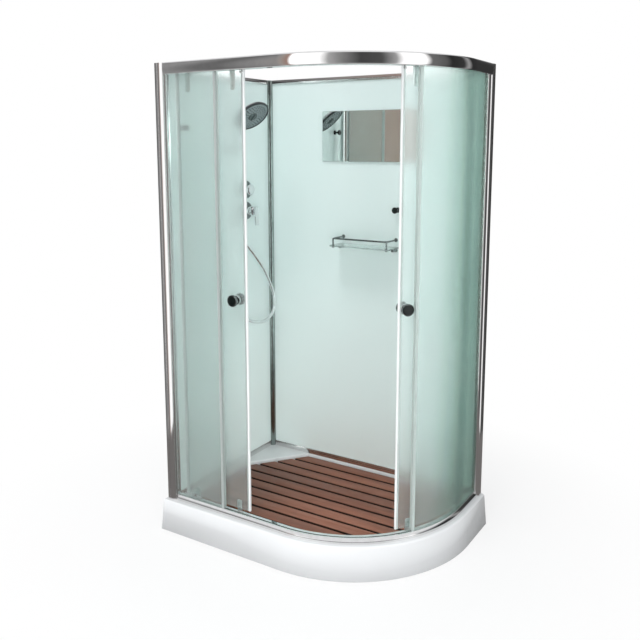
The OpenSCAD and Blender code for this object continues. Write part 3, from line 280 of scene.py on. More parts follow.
def soften(bm, width, steps=2, angle=30):
    """Rounds all sharp edges."""
    bm.normal_update()
    sharp = [e for e in bm.edges if len(e.link_faces) == 2 and e.calc_face_angle(0) > math.radians(angle)]
    rounded(bm, sharp, width, steps)


acrylic, tree, surface = shading("white_acrylic")
cloudy = tones(tree, speckle(tree, 2.5, 3), [(0.3, (0.745, 0.755, 0.765)), (0.7, (0.785, 0.795, 0.805))])
uneven = tones(tree, speckle(tree, 35, 5), [(0.3, 0.16), (0.75, 0.24)])
fed(tree, surface, {"Base Color": cloudy, "Roughness": uneven, "Coat Weight": 0.4, "Coat Roughness": 0.08})
relief(tree, surface, speckle(tree, 60, 2), 0.05, 0.0006)

bm = bmesh.new()
rim = round_front(bm, -rim_lip, tray_h, rim_left, rim_back)
basin = round_front(bm, rim_w, tray_h, basin_left, basin_back, (ledge_x, ledge_y))
bmesh.ops.bridge_loops(bm, edges=rim + basin)
bm.normal_update()
floor_ring = pushed(bm, basin, (0, 0, basin_floor - tray_h))[1]
hole = bmesh.ops.create_circle(bm, segments=48, radius=waste_r, cap_ends=False,
                               matrix=Matrix.Translation(waste + Vector((0, 0, basin_floor))))["verts"]
hole_ring = edges_of(hole)
bmesh.ops.bridge_loops(bm, edges=floor_ring + hole_ring)
pushed(bm, hole_ring, (0, 0, -0.004))


def skirt_foot(v):
    """How far the skirt's foot stands out from the rim at this place."""
    if v.x > arc_x and v.y < arc_y:
        return Vector((v.x - arc_x, v.y - arc_y, 0)).normalized() * skirt_out
    sideways = -skirt_out_left if v.x < at_left else skirt_out if v.x > right_x + 0.005 else 0
    return Vector((sideways, -skirt_out if v.y < front_y else 0, 0))


left_edge = max((e for e in rim if all(v.co.x < at_left for v in e.verts)), key=lambda e: e.calc_length())
cut = bmesh.ops.subdivide_edges(bm, edges=[left_edge], cuts=1)
middle = [g for g in cut["geom_inner"] if isinstance(g, bmesh.types.BMVert)][0]
middle.co.y = skirt_end_y
rim = [e for e in bm.edges if e.is_boundary and all(v.co.z > tray_h - 0.001 for v in e.verts)]
by_wall = [e for e in rim if min(v.co.y for v in e.verts) > at_back
           or (max(v.co.x for v in e.verts) < at_left and max(v.co.y for v in e.verts) > skirt_end_y + 0.005)]
skirted = [e for e in rim if e not in by_wall]
pushed(bm, by_wall, (0, 0, -flange_h))
skirt = bmesh.ops.extrude_edge_only(bm, edges=skirted)
for v in new_verts(skirt):
    v.co += skirt_foot(v.co)
    v.co.z = 0.002
for edges, bend_r, steps in ((skirted, 0.008, 5), (by_wall, 0.004, 3), (basin, 0.007, 4), (floor_ring, 0.016, 5)):
    bm.normal_update()
    rounded(bm, [e for e in edges if e.is_valid], bend_r, steps)
tray = finished(bm, "tray_shell", acrylic, "cabin", ["tray"], crease=50)
shell = tray.modifiers.new("acrylic_thickness", "SOLIDIFY")
shell.thickness, shell.offset = tray_wall, -1

# Frame under the tray: welded square steel tube, painted grey, on six threaded plastic feet.
# Both stand hidden behind the skirt and are seen only from below or from the wall sides.
painted_steel = plated("painted_steel", (0.3, 0.31, 0.32), (0.22, 0.23, 0.24), 0.45, scale=40)


def plain_finish(name, grain, stops, gloss, bumps=None, more={}):
    """One gloss, tones that follow a grain, and bumps given as (grain, strength, depth)."""
    m, tree, surface = shading(name)
    fed(tree, surface, {"Base Color": tones(tree, speckle(tree, *grain), stops), "Roughness": gloss, **more})
    if bumps:
        relief(tree, surface, speckle(tree, *bumps[0]), *bumps[1:])
    return m


foot_plastic = plain_finish("black_foot_plastic", (120, 3),
                            [(0.3, (0.02, 0.02, 0.022)), (0.8, (0.04, 0.04, 0.043))], 0.55,
                            ((900, 2), 0.15, 0.0003))


def coated(name, finish, bevel=0.0):
    """A CAD node shown with its own finish, its triangles joined and its creases kept."""
    piece = node[name]
    piece.data.materials.clear()
    piece.data.materials.append(finish)
    join = piece.modifiers.new("joined", "WELD")
    join.merge_threshold = 0.00001
    if bevel:
        edge = piece.modifiers.new("eased_edges", "BEVEL")
        edge.width, edge.segments, edge.limit_method, edge.angle_limit = bevel, 2, "ANGLE", math.radians(40)
    piece.data.shade_smooth()
    crease = piece.modifiers.new("creases", "EDGE_SPLIT")
    crease.split_angle = math.radians(32)
    return piece


coated("tray_frame", painted_steel)
coated("tray_feet", foot_plastic)

# Waste: a plastic trap under the basin with its outlet to the left, and a pressed steel grate
# whose flange lies on the basin's floor below the deck.
trap_plastic = plain_finish("grey_trap_plastic", (50, 4), [(0.3, (0.055, 0.057, 0.06)), (0.8, (0.085, 0.087, 0.09))],
                            0.42, ((500, 2), 0.1, 0.0003))
coated("drain_trap", trap_plastic)
pressed_steel = plated("pressed_steel", (0.68, 0.68, 0.67), (0.56, 0.56, 0.56), 0.24, (1, 12, 1))
coated("drain_grate", pressed_steel)

# Deck: oiled hardwood slats with eased edges and 13 mm gaps, screwed from below to battens. It lies
# loose on the basin's floor, and its outline follows the basin.
deck_top, slat_t, slat_w, slat_gap, deck_gap, rear_slat_w = 0.126, 0.020, 0.059, 0.013, 0.004, 0.057


def reckoned(tree, operation, *values, clamp=False):
    """A value worked out from others, each a number or another node's result."""
    step = added(tree, "Math")
    step.operation, step.use_clamp = operation, clamp
    fed(tree, step, dict(enumerate(values)))
    return step.outputs[0]


def blended(tree, kind, share, one, other):
    """Two colours laid over each other in one way."""
    mix = added(tree, "Mix")
    mix.data_type, mix.blend_type = "RGBA", kind
    fed(tree, mix, {"Factor": share, "A": one, "B": other})
    return mix.outputs["Result"]


def oiled_wood(name, dark, middle, light, gloss):
    """Straight-grained hardwood: long tone bands, fine pores, upright sides darkened with painted shade, and each slat
    a little different.
    """
    m, tree, surface = shading(name)
    own = added(tree, "Attribute")
    own.attribute_name = "slat_tone"
    bands = speckle(tree, 26, 6, (0.1, 1.0, 1.0), 0.62)
    pores = speckle(tree, 420, 3, (0.035, 1.0, 1.0), 0.6)
    spread = reckoned(tree, "MULTIPLY_ADD", own.outputs["Fac"], 0.3, bands)
    grain = tones(tree, spread, [(0.38, dark), (0.88, light), (0.62, middle)])
    facing_up = added(tree, "SeparateXYZ", {0: added(tree, "NewGeometry").outputs["Normal"]})
    # Painted shade: faces that don't point up are darkened, so the gaps between the slats look deep and dark.
    painted_flank_shade = tones(tree, facing_up.outputs["Z"], [(0.35, (0.05, 0.05, 0.05)), (0.75, (1, 1, 1))])
    grain_with_painted_shade = blended(tree, "MULTIPLY", 1.0, grain, painted_flank_shade)
    pitted = tones(tree, pores, [(0.34, (0.6, 0.54, 0.5)), (0.52, (1, 1, 1))])
    uneven = tones(tree, bands, [(0.3, gloss), (0.8, gloss + 0.15)])
    fed(tree, surface, {"Base Color": blended(tree, "MULTIPLY", 0.55, grain_with_painted_shade, pitted), "Roughness": uneven})
    relief(tree, surface, pores, 0.35, 0.0004)
    return m


deck_wood = oiled_wood("oiled_hardwood", (0.205, 0.078, 0.048), (0.28, 0.11, 0.068), (0.37, 0.156, 0.1), 0.46)
bm = bmesh.new()
bm.verts.layers.float.new("slat_tone")
row_back, depth, i = basin_back - deck_gap, rear_slat_w, 0
while row_back > front_y + rim_w:
    row = bmesh.new()
    plan = round_front(row, rim_w + deck_gap, deck_top - slat_t, basin_left + deck_gap, basin_back - deck_gap,
                       (ledge_x - deck_gap * 0.63, ledge_y - deck_gap * 0.81))
    bmesh.ops.contextual_create(row, geom=plan)
    for at, way in ((row_back, 1), (row_back - depth, -1)):
        bmesh.ops.bisect_plane(row, geom=list(row.verts) + list(row.edges) + list(row.faces), dist=1e-6,
                               plane_co=(0, at, 0), plane_no=(0, way, 0), clear_outer=True, clear_inner=False)
    if row.faces:
        up = bmesh.ops.extrude_face_region(row, geom=list(row.faces))
        bmesh.ops.translate(row, vec=(0, 0, slat_t), verts=new_verts(up))
        bmesh.ops.recalc_face_normals(row, faces=row.faces)
        soften(row, 0.003, 3, 40)
        layer = row.verts.layers.float.new("slat_tone")
        for v in row.verts:
            v[layer] = math.sin(7.3 * i + 1.1) * 0.5
        slat = bpy.data.meshes.new("slat")
        row.to_mesh(slat)
        bm.from_mesh(slat)
        bpy.data.meshes.remove(slat)
    row.free()
    row_back -= depth + slat_gap
    depth, i = slat_w, i + 1
finished(bm, "deck_slats_oiled", deck_wood, "deck", ["deck_slats"], crease=40)
batten_wood = oiled_wood("planed_softwood", (0.1, 0.05, 0.034), (0.16, 0.082, 0.058), (0.23, 0.125, 0.092), 0.55)
coated("deck_battens", batten_wood)

# Wall panels: 6 mm acrylic sheet with a mint back coating, glossy on the inside, with painted light that makes
# it paler toward the foot. They stand in the profiles and the foot trims, on the two sides by the room's walls.
wall_sheet, tree, surface = shading("mint_wall_sheet")


def ranged(tree, value, low, high, least=0.0, ease="LINEAR"):
    """The least share at one value, 1 at the other, and in step between them."""
    step = added(tree, "MapRange", {"Value": value, "From Min": low, "From Max": high, "To Min": least})
    step.interpolation_type = ease
    return step.outputs["Result"]


coat_tone = tones(tree, speckle(tree, 1.6, 3, (1, 1, 0.4)), [(0.3, (0.73, 0.845, 0.83)), (0.72, (0.79, 0.89, 0.875))])
split = added(tree, "SeparateXYZ", {0: added(tree, "TexCoord").outputs["Object"]})
# Painted light: the coating turns paler toward the foot, to make up for the shade low in the cabin.
painted_light_toward_foot = tones(tree, ranged(tree, split.outputs["Z"], 1.1, 0.3), [(0.0, 0.0), (1.0, 0.95)])
fed(tree, surface, {"Base Color": blended(tree, "MIX", painted_light_toward_foot, coat_tone, (0.885, 0.97, 0.955, 1)),
                    "Roughness": tones(tree, speckle(tree, 12, 4), [(0.3, 0.14), (0.75, 0.22)]),
                    "Coat Weight": 0.3, "Coat Roughness": 0.06})
relief(tree, surface, speckle(tree, 8, 2), 0.04, 0.001)
for panel in ("left_wall", "back_wall"):
    coated(panel, wall_sheet)

# Corner and wall trims: extruded aluminium, polished and anodised. The corner strip has a hollow
# face, and the channels cap the sheets at the top and hold them at the foot.
profile_metal = plated("polished_profile", (0.8, 0.79, 0.79), (0.7, 0.69, 0.69), 0.08, (14, 14, 0.25), 30, 0.02)
# Painted shade: the corner strip takes the polished profile finish made darker and greener, for the shade in the
# cabin's rear corner.
corner_metal_painted_shade = plated("corner_profile_painted_shade", (0.33, 0.37, 0.36), (0.25, 0.285, 0.275), 0.14, (14, 14, 0.25), 30, 0.03)
coated("corner_profile", corner_metal_painted_shade)
coated("wall_trims", profile_metal, 0.0006)

# Upright profiles: two aluminium extrusions, 50 and 40 mm wide, that stand on the tray, take the
# wall sheets and the fixed panes in grooves and carry the rails. Screws hold the sheets in them.
profile_d, profile_z, rail_y1 = 0.035, (0.14, 2.000), 0.352


def moved(x, y, z):
    """A move along the three axes."""
    return Matrix.Translation((x, y, z))


def extruded(bm, section, z0, z1, place):
    """A closed section pushed upright from one height to another, with both ends closed."""
    verts, foot = ring_of(bm, [place @ Vector((x, y, z0)) for x, y in section])
    capped(bm, foot, pushed(bm, foot, (0, 0, z1 - z0))[1])


def curl(cx, cy, r, a0, a1, steps):
    """Points on a bend of a section."""
    return [(cx + r * math.cos(math.radians(a)), cy + r * math.sin(math.radians(a)))
            for a in (a0 + (a1 - a0) * k / steps for k in range(steps + 1))]


face = [(0, profile_d)] + curl(0.009, 0.0096, 0.009, 180, 270, 8)
face += [(0.0175, 0.0006), (0.0182, 0.002), (0.02, 0.002), (0.0207, 0.0006)]
face += curl(0.0215, 0.0506, 0.05, 270, 298, 14)
face += [(0.0455, 0.012), (0.05, 0.0125), (0.05, 0.0218), (0.04, 0.0218), (0.04, 0.0272),
         (0.05, 0.0272), (0.05, profile_d), (0.0382, profile_d), (0.0382, profile_d - 0.01),
         (0.0318, profile_d - 0.01), (0.0318, profile_d)]
bm = bmesh.new()
extruded(bm, face, *profile_z, moved(left_x, front_y, 0))
finished(bm, "left_end_extrusion", profile_metal, "cabin", ["left_end_profile"], crease=24)
face = [(0, 0.04), (0, 0.0242), (0.01, 0.0242), (0.01, 0.0178), (0, 0.0178), (0, 0), (0.0078, 0),
        (0.0078, 0.01), (0.0132, 0.01), (0.0132, 0.0004)]
face += curl(profile_d - 0.02, 0.02, 0.02, 276, 360, 16)
face += [(profile_d, 0.025), (profile_d - 0.0014, 0.0257), (profile_d - 0.0014, 0.0273), (profile_d, 0.028),
         (profile_d, 0.037)] + curl(profile_d - 0.003, 0.037, 0.003, 0, 90, 4)
bm = bmesh.new()
extruded(bm, face, *profile_z, moved(right_x - profile_d, rail_y1, 0))
finished(bm, "right_end_extrusion", profile_metal, "cabin", ["right_end_profile"], crease=24)
screw_steel = plated("screw_steel", (0.62, 0.62, 0.62), (0.5, 0.5, 0.5), 0.2)
coated("frame_screws", screw_steel)

# Top rail: one bent aluminium extrusion with a slightly crowned face, two webs that hold the fixed
# panes and a track on which the doors' rollers run. Two angle brackets fix it to the uprights.
rail_top, rail_h, rail_d, rail_x0, bend_steps = 2.000, 0.046, 0.062, -0.533, 72
rail_metal = plated("polished_rail", (0.9, 0.89, 0.89), (0.84, 0.83, 0.83), 0.03, (3, 3, 3), 12, 0.0)


def die(bm, corners, place):
    """The closed section of an extrusion, standing across its run: (inset from the face, height)."""
    return ring_of(bm, [place @ Vector((0, u, z)) for u, z in corners])


def along_front(bm, corners):
    """Runs a section along the front, round the corner and back to the right upright."""
    first = die(bm, corners, moved(rail_x0, front_y, 0))[1]
    verts, edges = pushed(bm, first, (arc_x - rail_x0, 0, 0))
    verts, edges = swept(bm, verts + edges, (arc_x, arc_y, 0), math.pi / 2, bend_steps)
    capped(bm, first, pushed(bm, edges, (0, rail_y1 - arc_y, 0))[1])


face_r, track_z, pane_web_z = 0.08967, 1.961, 1.954
crown = [(face_r - 0.003 - face_r * math.cos(a), rail_top - rail_h / 2 + face_r * math.sin(a))
         for a in (math.asin(k * (rail_h / 2 - 0.002) / 6 / face_r) for k in range(-6, 7))]
bm = bmesh.new()
channels = [(0.0012, rail_top), (rail_d - 0.001, rail_top), (rail_d, rail_top - 0.001), (rail_d, rail_top - 0.011),
            (rail_d - 0.002, rail_top - 0.011), (rail_d - 0.002, rail_top - 0.0025), (0.031, rail_top - 0.0025),
            (0.031, track_z + 0.0025), (0.044, track_z + 0.0025), (0.044, track_z), (0.031, track_z),
            (0.031, pane_web_z), (0.0272, pane_web_z), (0.0272, rail_top - 0.0025), (0.0218, rail_top - 0.0025),
            (0.0218, pane_web_z)]
along_front(bm, [(0.0012, rail_top - rail_h)] + crown + channels)
finished(bm, "top_rail_bent", rail_metal, "cabin", ["top_rail"])
coated("rail_brackets", screw_steel)

# Bottom rail: a low extrusion glued to the tray's rim. Its outer lip slopes so that water runs
# back, its groove holds the fixed panes, and the doors' lower rollers run under its inner lip.
bm = bmesh.new()
along_front(bm, [(0.008, 0.14), (0.008, 0.15), (0.009, 0.1515), (0.016, 0.1613), (0.0175, 0.162), (0.0218, 0.162),
                 (0.0218, 0.142), (0.0272, 0.142), (0.0272, 0.162), (0.031, 0.162), (0.031, 0.1605), (0.044, 0.1605),
                 (0.044, 0.158), (0.031, 0.158), (0.031, 0.142), (0.044, 0.142), (0.044, 0.14)])
finished(bm, "bottom_rail_bent", rail_metal, "cabin", ["bottom_rail"])

# Fixed panes: 5 mm toughened glass, etched so that it is frosted all over, one flat at the left
# and one bent round the corner at the right. They stand in the rails' grooves.
glass_t, fixed_inset, fixed_z = 0.005, 0.022, (0.144, 1.972)
groove_depth, left_fixed_x1, right_fixed_a = 0.009, -0.283, 57.6


def pane_section(inset, z0, z1):
    """The upright section of a pane, at one depth behind the rail's face."""
    return [(inset, z0), (inset, z1), (inset + glass_t, z1), (inset + glass_t, z0)]


def at_corner(angle):
    """The middle of the cabin's round corner, turned to an angle from the front."""
    return moved(arc_x, arc_y, 0) @ Matrix.Rotation(math.radians(angle), 4, "Z")


def flat_pane(bm, section, x0, x1):
    """A pane along the straight front."""
    first = die(bm, section, moved(x0, front_y, 0))[1]
    capped(bm, first, pushed(bm, first, (x1 - x0, 0, 0))[1])


def bent_pane(bm, section, a0, a1, then=0.0):
    """A pane bent round the corner between two angles, and on along the right side if asked."""
    verts, first = die(bm, section, at_corner(a0) @ moved(0, -corner_r, 0))
    steps = round((a1 - a0) / 1.5)
    edges = swept(bm, verts + first, (arc_x, arc_y, 0), math.radians(a1 - a0), steps)[1]
    if then:
        edges = pushed(bm, edges, (0, then, 0))[1]
    capped(bm, first, edges)


def ground(bm, name, body, stands_for):
    """Ends a pane: its edges are ground, and it gets its finish, its body and its node."""
    soften(bm, 0.0006, 1)
    finished(bm, name, etched_glass, body, [stands_for])


etched_glass, tree, surface = shading("etched_mint_glass")
milky = tones(tree, speckle(tree, 3, 3), [(0.3, (0.885, 0.965, 0.95)), (0.7, (0.915, 0.975, 0.965))])
facing_share = added(tree, "LayerWeight").outputs["Facing"]
slanted = tones(tree, facing_share, [(0.34, (1, 1, 1)), (0.66, (0.25, 0.42, 0.35)), (0.52, (0.68, 0.82, 0.76))])
fed(tree, surface, {"Base Color": blended(tree, "MULTIPLY", 1.0, milky, slanted),
                    "Roughness": tones(tree, speckle(tree, 700, 2), [(0.3, 0.21), (0.7, 0.25)]),
                    "Transmission Weight": 0.91, "IOR": 1.45})
relief(tree, surface, speckle(tree, 1500, 2), 0.1, 0.0002)
bm = bmesh.new()
flat_pane(bm, pane_section(fixed_inset, *fixed_z), rail_x0 - groove_depth, left_fixed_x1)
ground(bm, "left_fixed_pane", "cabin", "left_fixed_glass")
bm = bmesh.new()
bent_pane(bm, pane_section(fixed_inset, *fixed_z), right_fixed_a, 90, rail_y1 + groove_depth - arc_y)
ground(bm, "right_fixed_pane", "cabin", "right_fixed_glass")

# Strips on the fixed panes' free edges: clear-white plastic sections that clip over the glass,
# with a thin fin that closes the gap to the door behind.
strip_plastic = plain_finish("pale_strip_plastic", (6, 3, (1, 1, 0.3)),
                             [(0.3, (0.76, 0.85, 0.82)), (0.7, (0.82, 0.89, 0.87))], 0.3,
                             ((200, 2, (1, 1, 0.05)), 0.08, 0.0002), {"Transmission Weight": 0.55})
coated("fixed_glass_seals", strip_plastic)

# Doors: 5 mm frosted panes, the left one flat and the right one bent to the corner's radius. They
# hang inside the fixed panes and slide behind them, so the photograph shows them stacked.
door_inset, door_z, glass_top, strip_back = 0.045, (0.17, 1.944), 1.9575, 0.003
left_door_x, right_door_a = (-0.505, -0.16), (50.4, 108.27)
door_r = corner_r - door_inset - glass_t / 2
bm = bmesh.new()
flat_pane(bm, pane_section(door_inset, door_z[0], glass_top), left_door_x[0] + strip_back, left_door_x[1] - strip_back)
ground(bm, "left_door_pane", "left_door", "left_door_glass")
back_a = math.degrees(strip_back / door_r)
bm = bmesh.new()
bent_pane(bm, pane_section(door_inset, door_z[0], glass_top), right_door_a[0] + back_a, right_door_a[1] - back_a)
ground(bm, "right_door_pane", "right_door", "right_door_glass")

# Door strips: white magnetic bars on the two edges that meet and the same bars on the trailing
# edges, each with two clear lips that clip over the glass.
door_in = door_inset + glass_t


def on_door(side, along):
    """A place on a door's inner face: x runs along the door and y into the cabin."""
    if side == "left":
        return moved(along, front_y + door_in, 0)
    return at_corner(along) @ moved(0, door_in - corner_r, 0)


white_strip = plain_finish("white_strip_plastic", (5, 3, (1, 1, 0.3)),
                           [(0.3, (0.84, 0.86, 0.86)), (0.7, (0.9, 0.91, 0.91))], 0.3,
                           ((200, 2, (1, 1, 0.05)), 0.08, 0.0002),
                           {"Subsurface Weight": 0.1, "Subsurface Radius": (0.004, 0.004, 0.004)})
magnet_bar = [(0, -0.0065), (0.001, -0.007), (0.006, -0.007), (0.006, -0.005), (0.003, -0.005), (0.003, 0),
              (0.006, 0), (0.006, 0.002), (0.001, 0.002), (0, 0.0015)]
lip_bars = [[(0.006, -0.006), (0.012, -0.0056), (0.014, -0.0051), (0.014, -0.005), (0.006, -0.005)],
            [(0.006, 0), (0.014, 0), (0.014, 0.0001), (0.012, 0.0006), (0.006, 0.001)]]
for side, ends in (("left", left_door_x), ("right", right_door_a)):
    bars, lips = bmesh.new(), bmesh.new()
    for along, way in zip(ends, (1, -1)):
        place = on_door(side, along) @ Matrix.Diagonal((way, 1, 1, 1))
        extruded(bars, magnet_bar, door_z[0], glass_top, place)
        for lip in lip_bars:
            extruded(lips, lip, door_z[0], glass_top, place)
    finished(bars, side + "_door_magnet_bars", white_strip, side + "_door", [side + "_door_seals"])
    finished(lips, side + "_door_strip_lips", strip_plastic, side + "_door")

# Door knobs: a pair of turned discs in smoked chrome on each door, each with a glossy green-black
# inlay in its face, on short stems that pass through the glass and clamp it.
knob_z, stem_l = 1.060, 0.013


def turned(bm, profile, place=Matrix(), steps=48):
    """A turned piece: its profile of (radius, height) spun about Z, and put in place."""
    old = set(bm.verts)
    verts = [bm.verts.new((r, 0, h)) for r, h in profile]
    edges = [bm.edges.new(pair) for pair in zip(verts, verts[1:])]
    bmesh.ops.spin(bm, geom=verts + edges, cent=(0, 0, 0), axis=(0, 0, 1), dvec=(0, 0, 0), angle=2 * math.pi,
                   steps=steps, use_merge=True, use_normal_flip=False, use_duplicate=False)
    fresh = [v for v in bm.verts if v not in old]
    bmesh.ops.transform(bm, matrix=place, verts=fresh)
    bmesh.ops.remove_doubles(bm, verts=fresh, dist=1e-6)


def facing(y):
    """Turns a piece made along Z to point along +Y or -Y."""
    return Matrix.Rotation(math.radians(-90 if y > 0 else 90), 4, "X")


dark_knob = plain_finish("green_black_gloss", (30, 3),
                         [(0.3, (0.0008, 0.003, 0.0026)), (0.75, (0.003, 0.008, 0.007))], 0.1,
                         ((250, 2), 0.03, 0.0002), {"Specular IOR Level": 0.35})
smoked_chrome = plated("smoked_chrome", (0.24, 0.26, 0.26), (0.15, 0.165, 0.165), 0.08)
body_profile = [(0.0065, 0), (0.019, 0), (0.0215, 0.001), (0.0232, 0.004), (0.024, 0.0075), (0.024, 0.0128),
                (0.0233, 0.0144), (0.0215, 0.015), (0.02, 0.0146), (0.0196, 0.012), (0.0065, 0.012), (0.0065, 0)]
inlay_profile = [(0, 0.0122), (0.0194, 0.0122), (0.0194, 0.015), (0.018, 0.0166), (0.015, 0.017),
                 (0.01, 0.0164), (0, 0.016)]
stem_profile = [(0, 0), (0.0195, 0), (0.02, 0.0006), (0.02, 0.0026), (0.019, 0.0036), (0.011, 0.0046),
                (0.0085, 0.006), (0.008, 0.008), (0.008, 0.013), (0, 0.013)]
knob_at = {"left": -0.217, "right": right_door_a[0] + math.degrees(0.029 / door_r)}
for side, along in knob_at.items():
    discs, bodies, stems = bmesh.new(), bmesh.new(), bmesh.new()
    for y, face in ((-1, -glass_t), (1, 0.0)):
        seat = on_door(side, along) @ moved(0, face, knob_z) @ facing(y)
        turned(stems, stem_profile, seat)
        turned(bodies, body_profile, seat @ moved(0, 0, stem_l), 64)
        turned(discs, inlay_profile, seat @ moved(0, 0, stem_l), 64)
    turned(stems, [(0, 0), (0.004, 0), (0.004, 0.007), (0, 0.007)],
           on_door(side, along) @ moved(0, -0.006, knob_z) @ facing(1), 24)
    finished(discs, side + "_door_knob_inlays", dark_knob, side + "_door", [side + "_door_knobs"])
    finished(bodies, side + "_door_knob_bodies", smoked_chrome, side + "_door")
    finished(stems, side + "_door_stem_pair", chrome, side + "_door", [side + "_door_stems"])

# Rollers and their hangers: each door hangs from two nylon-tyred rollers on the top rail's track
# and is held below by two smaller ones under the lip. Pressed steel plates bolt them to the glass.
wheel_out, plate_w, plate_t, plate_top, plate_foot = 0.0175, 0.024, 0.003, 1.984, 0.144
hanger_at = {"left": (-0.22, -0.445),
             "right": (right_door_a[0] + math.degrees(0.06 / door_r), right_door_a[1] - math.degrees(0.15 / door_r))}
stop_at = {"left": (left_door_x[1] - 0.014, 1), "right": (right_door_a[0] + math.degrees(0.014 / door_r), -1)}
stop_size, top_axle_z, low_axle_z = (0.012, 0.019, 0.008), 1.9758, 0.1507
tyre = plain_finish("white_nylon", (200, 3), [(0.3, (0.68, 0.68, 0.66)), (0.8, (0.78, 0.78, 0.76))], 0.38,
                    ((1200, 2), 0.08, 0.0002), {"Subsurface Weight": 0.1, "Subsurface Radius": (0.003, 0.003, 0.003)})
bracket_metal = plated("bracket_chrome", (0.86, 0.88, 0.88), (0.78, 0.8, 0.8), 0.34)


def block(bm, size, place):
    """A block of some width, depth and height about a place."""
    return bmesh.ops.create_cube(bm, size=1.0, matrix=place @ Matrix.Diagonal((*size, 1)))["verts"]


def hanger(bm, covers, place, z_axle, z_low, z_high, bolts):
    """A plate with rounded corners, its axle and its domed bolts with round sockets."""
    plate = block(bm, (plate_w, plate_t, z_high - z_low), moved(0, 0.00175, (z_low + z_high) / 2))
    across = [e for e in edges_of(plate) if abs((e.verts[0].co - e.verts[1].co).normalized().y) > 0.9]
    corners = {v for f in rounded(bm, across, 0.006, 5) for v in f.verts}
    bmesh.ops.transform(bm, matrix=place, verts=list(corners | {v for v in plate if v.is_valid}))
    axle = place @ moved(0, 0.00125, z_axle) @ facing(-1)
    turned(bm, [(0, 0), (0.005, 0), (0.005, 0.0064), (0.003, 0.0064), (0.003, wheel_out), (0.0045, wheel_out),
                (0.0045, wheel_out + 0.0012), (0.003, wheel_out + 0.002), (0, wheel_out + 0.002)], axle, 24)
    for z in bolts:
        bolt = place @ moved(0, 0.00325, z) @ facing(1)
        turned(bm, [(0, 0), (0.007, 0), (0.007, 0.0018), (0.0058, 0.0032), (0.0026, 0.0038), (0.0026, 0.0018),
                    (0, 0.0018)], bolt, 24)
        cap = place @ moved(0, -0.00525, z) @ facing(-1)
        turned(covers, [(0, 0), (0.005, 0), (0.005, 0.0003), (0.004, 0.0006), (0, 0.0006)], cap, 24)


for side, places in hanger_at.items():
    bm, covers = bmesh.new(), bmesh.new()
    for along in places:
        place = on_door(side, along)
        hanger(bm, covers, place, top_axle_z, door_z[1] - 0.06, plate_top, (door_z[1] - 0.02, door_z[1] - 0.045))
        hanger(bm, covers, place, low_axle_z, plate_foot, door_z[0] + 0.034, (door_z[0] + 0.02,))
    along, way = stop_at[side]
    block(bm, stop_size, on_door(side, along) @ moved(0.004 * way, -0.0035, door_z[1] + 0.0043))
    bmesh.ops.recalc_face_normals(bm, faces=bm.faces)
    soften(bm, 0.0005, 2, 50)
    finished(covers, side + "_door_screw_covers", etched_glass, side + "_door")
    finished(bm, side + "_door_hangers", bracket_metal, side + "_door", [side + "_door_brackets"])
    for end, along in zip(("front", "rear"), places):
        for level, z, r in (("top", top_axle_z, 0.012), ("low", low_axle_z, 0.007)):
            bm = bmesh.new()
            hub = on_door(side, along) @ moved(0, -wheel_out + 0.0015, z) @ facing(1)
            turned(bm, [(0.00305, 0), (r - 0.0028, 0), (r - 0.0024, 0.0008), (r - 0.0008, 0.0004), (r, 0.0012),
                        (r, 0.0088), (r - 0.0008, 0.0096), (r - 0.0024, 0.0092), (r - 0.0028, 0.01),
                        (0.00305, 0.01), (0.00305, 0)], hub, 64)
            finished(bm, f"{side}_{level}_roller_{end}", tyre, f"{side}_door_{level}_wheel_{end}",
                     [f"{side}_{level}_wheel_{end}"])

# Mirror: 4 mm silvered glass, its edge polished all round. It is stuck to four foam pads that hold
# it off the back wall.
mirror_size, mirror_at = (0.5, 0.004, 0.229), (0.01, 0.365, 1.7145)
silvered = plain_finish("silvered_glass", (4, 2), [(0.3, (0.8, 0.84, 0.83)), (0.7, (0.84, 0.87, 0.86))], 0.02,
                        ((3, 1), 0.01, 0.001), {"Metallic": 1.0})
bm = bmesh.new()
block(bm, mirror_size, Matrix.Translation(mirror_at))
soften(bm, 0.0012, 1)
finished(bm, "wall_mirror_silvered", silvered, "cabin", ["wall_mirror"])
foam = plain_finish("white_foam", (700, 3), [(0.3, (0.62, 0.62, 0.6)), (0.7, (0.74, 0.74, 0.72))], 0.9,
                    ((1500, 2), 0.5, 0.0004))
coated("mirror_pads", foam)

# Shelf: 6 mm clear glass with rounded corners on two wall brackets, and a bent guard rail whose
# posts are screwed through the glass. Brackets and rail are in smoked chrome.
shelf_x, shelf_y, shelf_z, shelf_w, shelf_d, shelf_t = 0.010, 0.314, 1.222, 0.305, 0.108, 0.006
post_x, post_y, guard_h, arm_d, arm_h = 0.1365, 0.274, 0.031, 0.037, 0.009
bar_z, bar_r, bend_r = shelf_z + guard_h, 0.004, 0.012
clear_glass = plain_finish("clear_shelf_glass", (6, 2), [(0.3, (0.82, 0.95, 0.92)), (0.7, (0.88, 0.97, 0.95))], 0.04,
                           more={"Transmission Weight": 0.85, "IOR": 1.5})


def on_back_wall(x, z):
    """A place on the back wall, for a piece that is made along Z."""
    return moved(x, wall_y, z) @ facing(-1)


